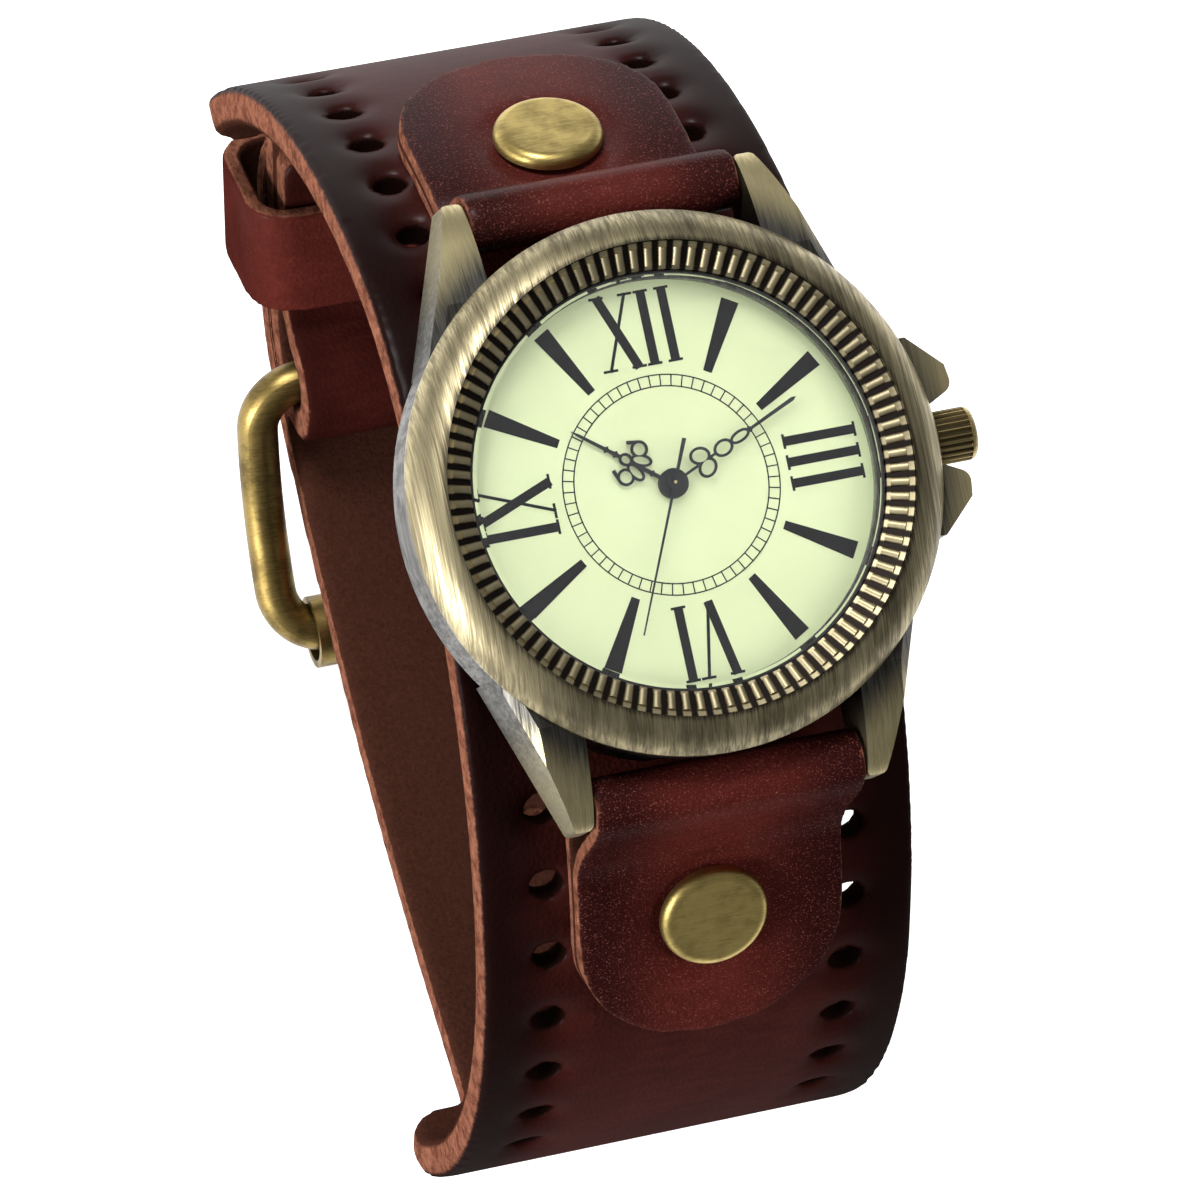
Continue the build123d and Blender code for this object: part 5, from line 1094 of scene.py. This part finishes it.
def make_keeper():
    keeper = one_skin("keeper_leather", [keeper_band()], voxel=0.28, passes=3)
    inverse = keeper_place.inverted()
    local = np.array([tuple(inverse @ Vector(point * MM)) for point in corners(keeper)]) / MM
    reach = np.maximum(abs(local[:, 0]) - keeper_width / 2 + keeper_corner, 0.0)
    height = np.maximum(abs(local[:, 1]) - keeper_height / 2 + keeper_corner, 0.0)
    shift = np.hypot(reach, height) - keeper_corner
    spread(shift / (keeper_thickness / 2), keeper, "side")
    spread(np.full(len(shift), far_from_holes), keeper, "hole")
    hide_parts("keeper_loop")
    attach(keeper, "watch")
    return keeper


keeper = make_keeper()
keeper_finish = waxed_leather(
    "waxed_keeper",
    (0.075, 0.014, 0.010),
    (0.04, 0.008, 0.006),
    burnish=2.0,
    half_width=17.0,
    gloss=0.34,
    glint_share=0.2,
)
dress(keeper, keeper_finish)
print("keeper:", len(keeper.data.polygons), "faces")

# %% [markdown]
# ## The springs in the spring bars
# Inside each bar a fine coil pushes two pins apart. A pin that is pressed in, to change the strap, shortens
# its own half of the coil. So each half is a piece of its own: a ring of the wire's section is spun round
# the bar while it moves along.

# %% Springs
wire_radius = 0.09
wire_sides = 8
half_turns = 4
turn_steps = 20


def half_spring(bar, side_name, side):
    low, high = (Vector(corner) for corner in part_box(f"{bar}_bar_spring"))
    middle, half = (low + high) / 2, (high.x - low.x) / 2
    coil_radius = (high.z - low.z) / 2 - wire_radius * MM
    steps = half_turns * turn_steps
    turn = 2 * math.pi * half_turns
    forward = (side * (half - wire_radius * MM) / steps, 0, 0)
    mesh = bmesh.new()
    place = Matrix.Translation(middle + Vector((0, coil_radius, 0)))
    bmesh.ops.create_circle(mesh, segments=wire_sides, radius=wire_radius * MM, matrix=place)
    ring = [*mesh.verts, *mesh.edges]
    bmesh.ops.spin(mesh, geom=ring, cent=middle, axis=(side, 0, 0), dvec=forward, angle=turn, steps=steps)
    bmesh.ops.holes_fill(mesh, edges=mesh.edges, sides=wire_sides)
    bmesh.ops.recalc_face_normals(mesh, faces=mesh.faces)
    spring = as_object(f"{bar}_spring_{side_name}", mesh)
    dress(spring, by_slot["core_steel"])
    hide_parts(f"{bar}_bar_spring")
    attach(spring, "watch")
    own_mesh(spring)
    return spring


springs = [half_spring(bar, *end) for bar in ("upper", "lower") for end in (("left", -1), ("right", 1))]
print("spring halves:", [spring.name for spring in springs])

# %% [markdown]
# ## The floor
# The watch stood on white paper. Here the paper is a plain grid just under the strap. How bright it looks
# to the camera, in the metal and through the glass comes from its own material, so the lamps can suit the
# object alone. In the metal, the paper in front, where the camera stood, is darker.

# %% Floor
floor_half = 3.0
floor_gap = 0.6
dark_front = (-320.0, -40.0)
paper_glow = (0.62, 0.62, 0.62)
black = (0.0, 0.0, 0.0)


def make_floor():
    mesh = bmesh.new()
    bmesh.ops.create_grid(mesh, x_segments=1, y_segments=1, size=floor_half)
    bmesh.ops.translate(mesh, verts=mesh.verts, vec=(0, 0, solid_low.z - floor_gap * MM))
    floor = as_object("floor", mesh)
    finish = Finish("floor_paper", Roughness=0.9, Emission_Strength=1.0, Specular_IOR_Level=0.1)
    seen = finish.node("ShaderNodeLightPath", out="Is Camera Ray")
    mirrored = finish.node("ShaderNodeLightPath", out="Is Glossy Ray")
    through = finish.node("ShaderNodeLightPath", out="Is Transmission Ray")
    lit = finish.step(finish.along(1), *dark_front) * 0.85 + 0.15
    shown = finish.node("ShaderNodeMath", {"operation": "MINIMUM"}, seen + through + mirrored * lit, 1.0)
    paper = finish.noise(finish.place(), 0.02, 2.0)
    finish.to("Base Color", finish.mix(paper, (0.86, 0.86, 0.86), (0.88, 0.88, 0.88)))
    finish.to("Emission Color", finish.mix(shown, black, paper_glow))
    dress(floor, finish.material)


make_floor()
print("floor at", round(solid_low.z - floor_gap * MM, 4))

# %% [markdown]
# ## The light
# One large soft lamp stands high behind the watch for the broad shine on the leather, one on the right
# fills the shadows, and one low on the left draws the bezel's rim. The one on the right leaves no shine, so
# glossy rays don't see it. The world adds a little light all round, and the camera and the glass see it as
# white.

# %% Lamps and world
aim = Vector((0.0, 0.0, -0.03))
world_level = 0.24


def lamp(name, place, size, power):
    light = bpy.data.lights.new(name, "AREA")
    light.shape = "DISK"
    light.size = size
    light.energy = power
    holder = bpy.data.objects.new(name, light)
    holder.location = place
    holder.rotation_euler = (aim - Vector(place)).to_track_quat("-Z", "Y").to_euler()
    bpy.context.scene.collection.objects.link(holder)
    return holder


lamp("key", (-0.30, 0.60, 0.80), 0.40, 10.0)
lamp("fill", (0.55, -0.35, 0.70), 0.35, 3.4).visible_glossy = False
lamp("low", (-0.80, -0.15, 0.16), 0.35, 8.0)

world = bpy.data.worlds.new("studio")
world.use_nodes = True
bpy.context.scene.world = world
sky = Nodes(world.node_tree, "Background")
sky.shader.inputs["Color"].default_value = (1.0, 1.0, 1.0, 1.0)
seen = sky.node("ShaderNodeLightPath", out="Is Camera Ray")
through = sky.node("ShaderNodeLightPath", out="Is Transmission Ray")
shown = sky.node("ShaderNodeMath", {"operation": "MAXIMUM"}, seen, through)
sky.to("Strength", shown * (1.0 - world_level) + world_level)
bpy.context.scene.view_settings.view_transform = "Standard"
print("lamps:", len(bpy.data.lights))
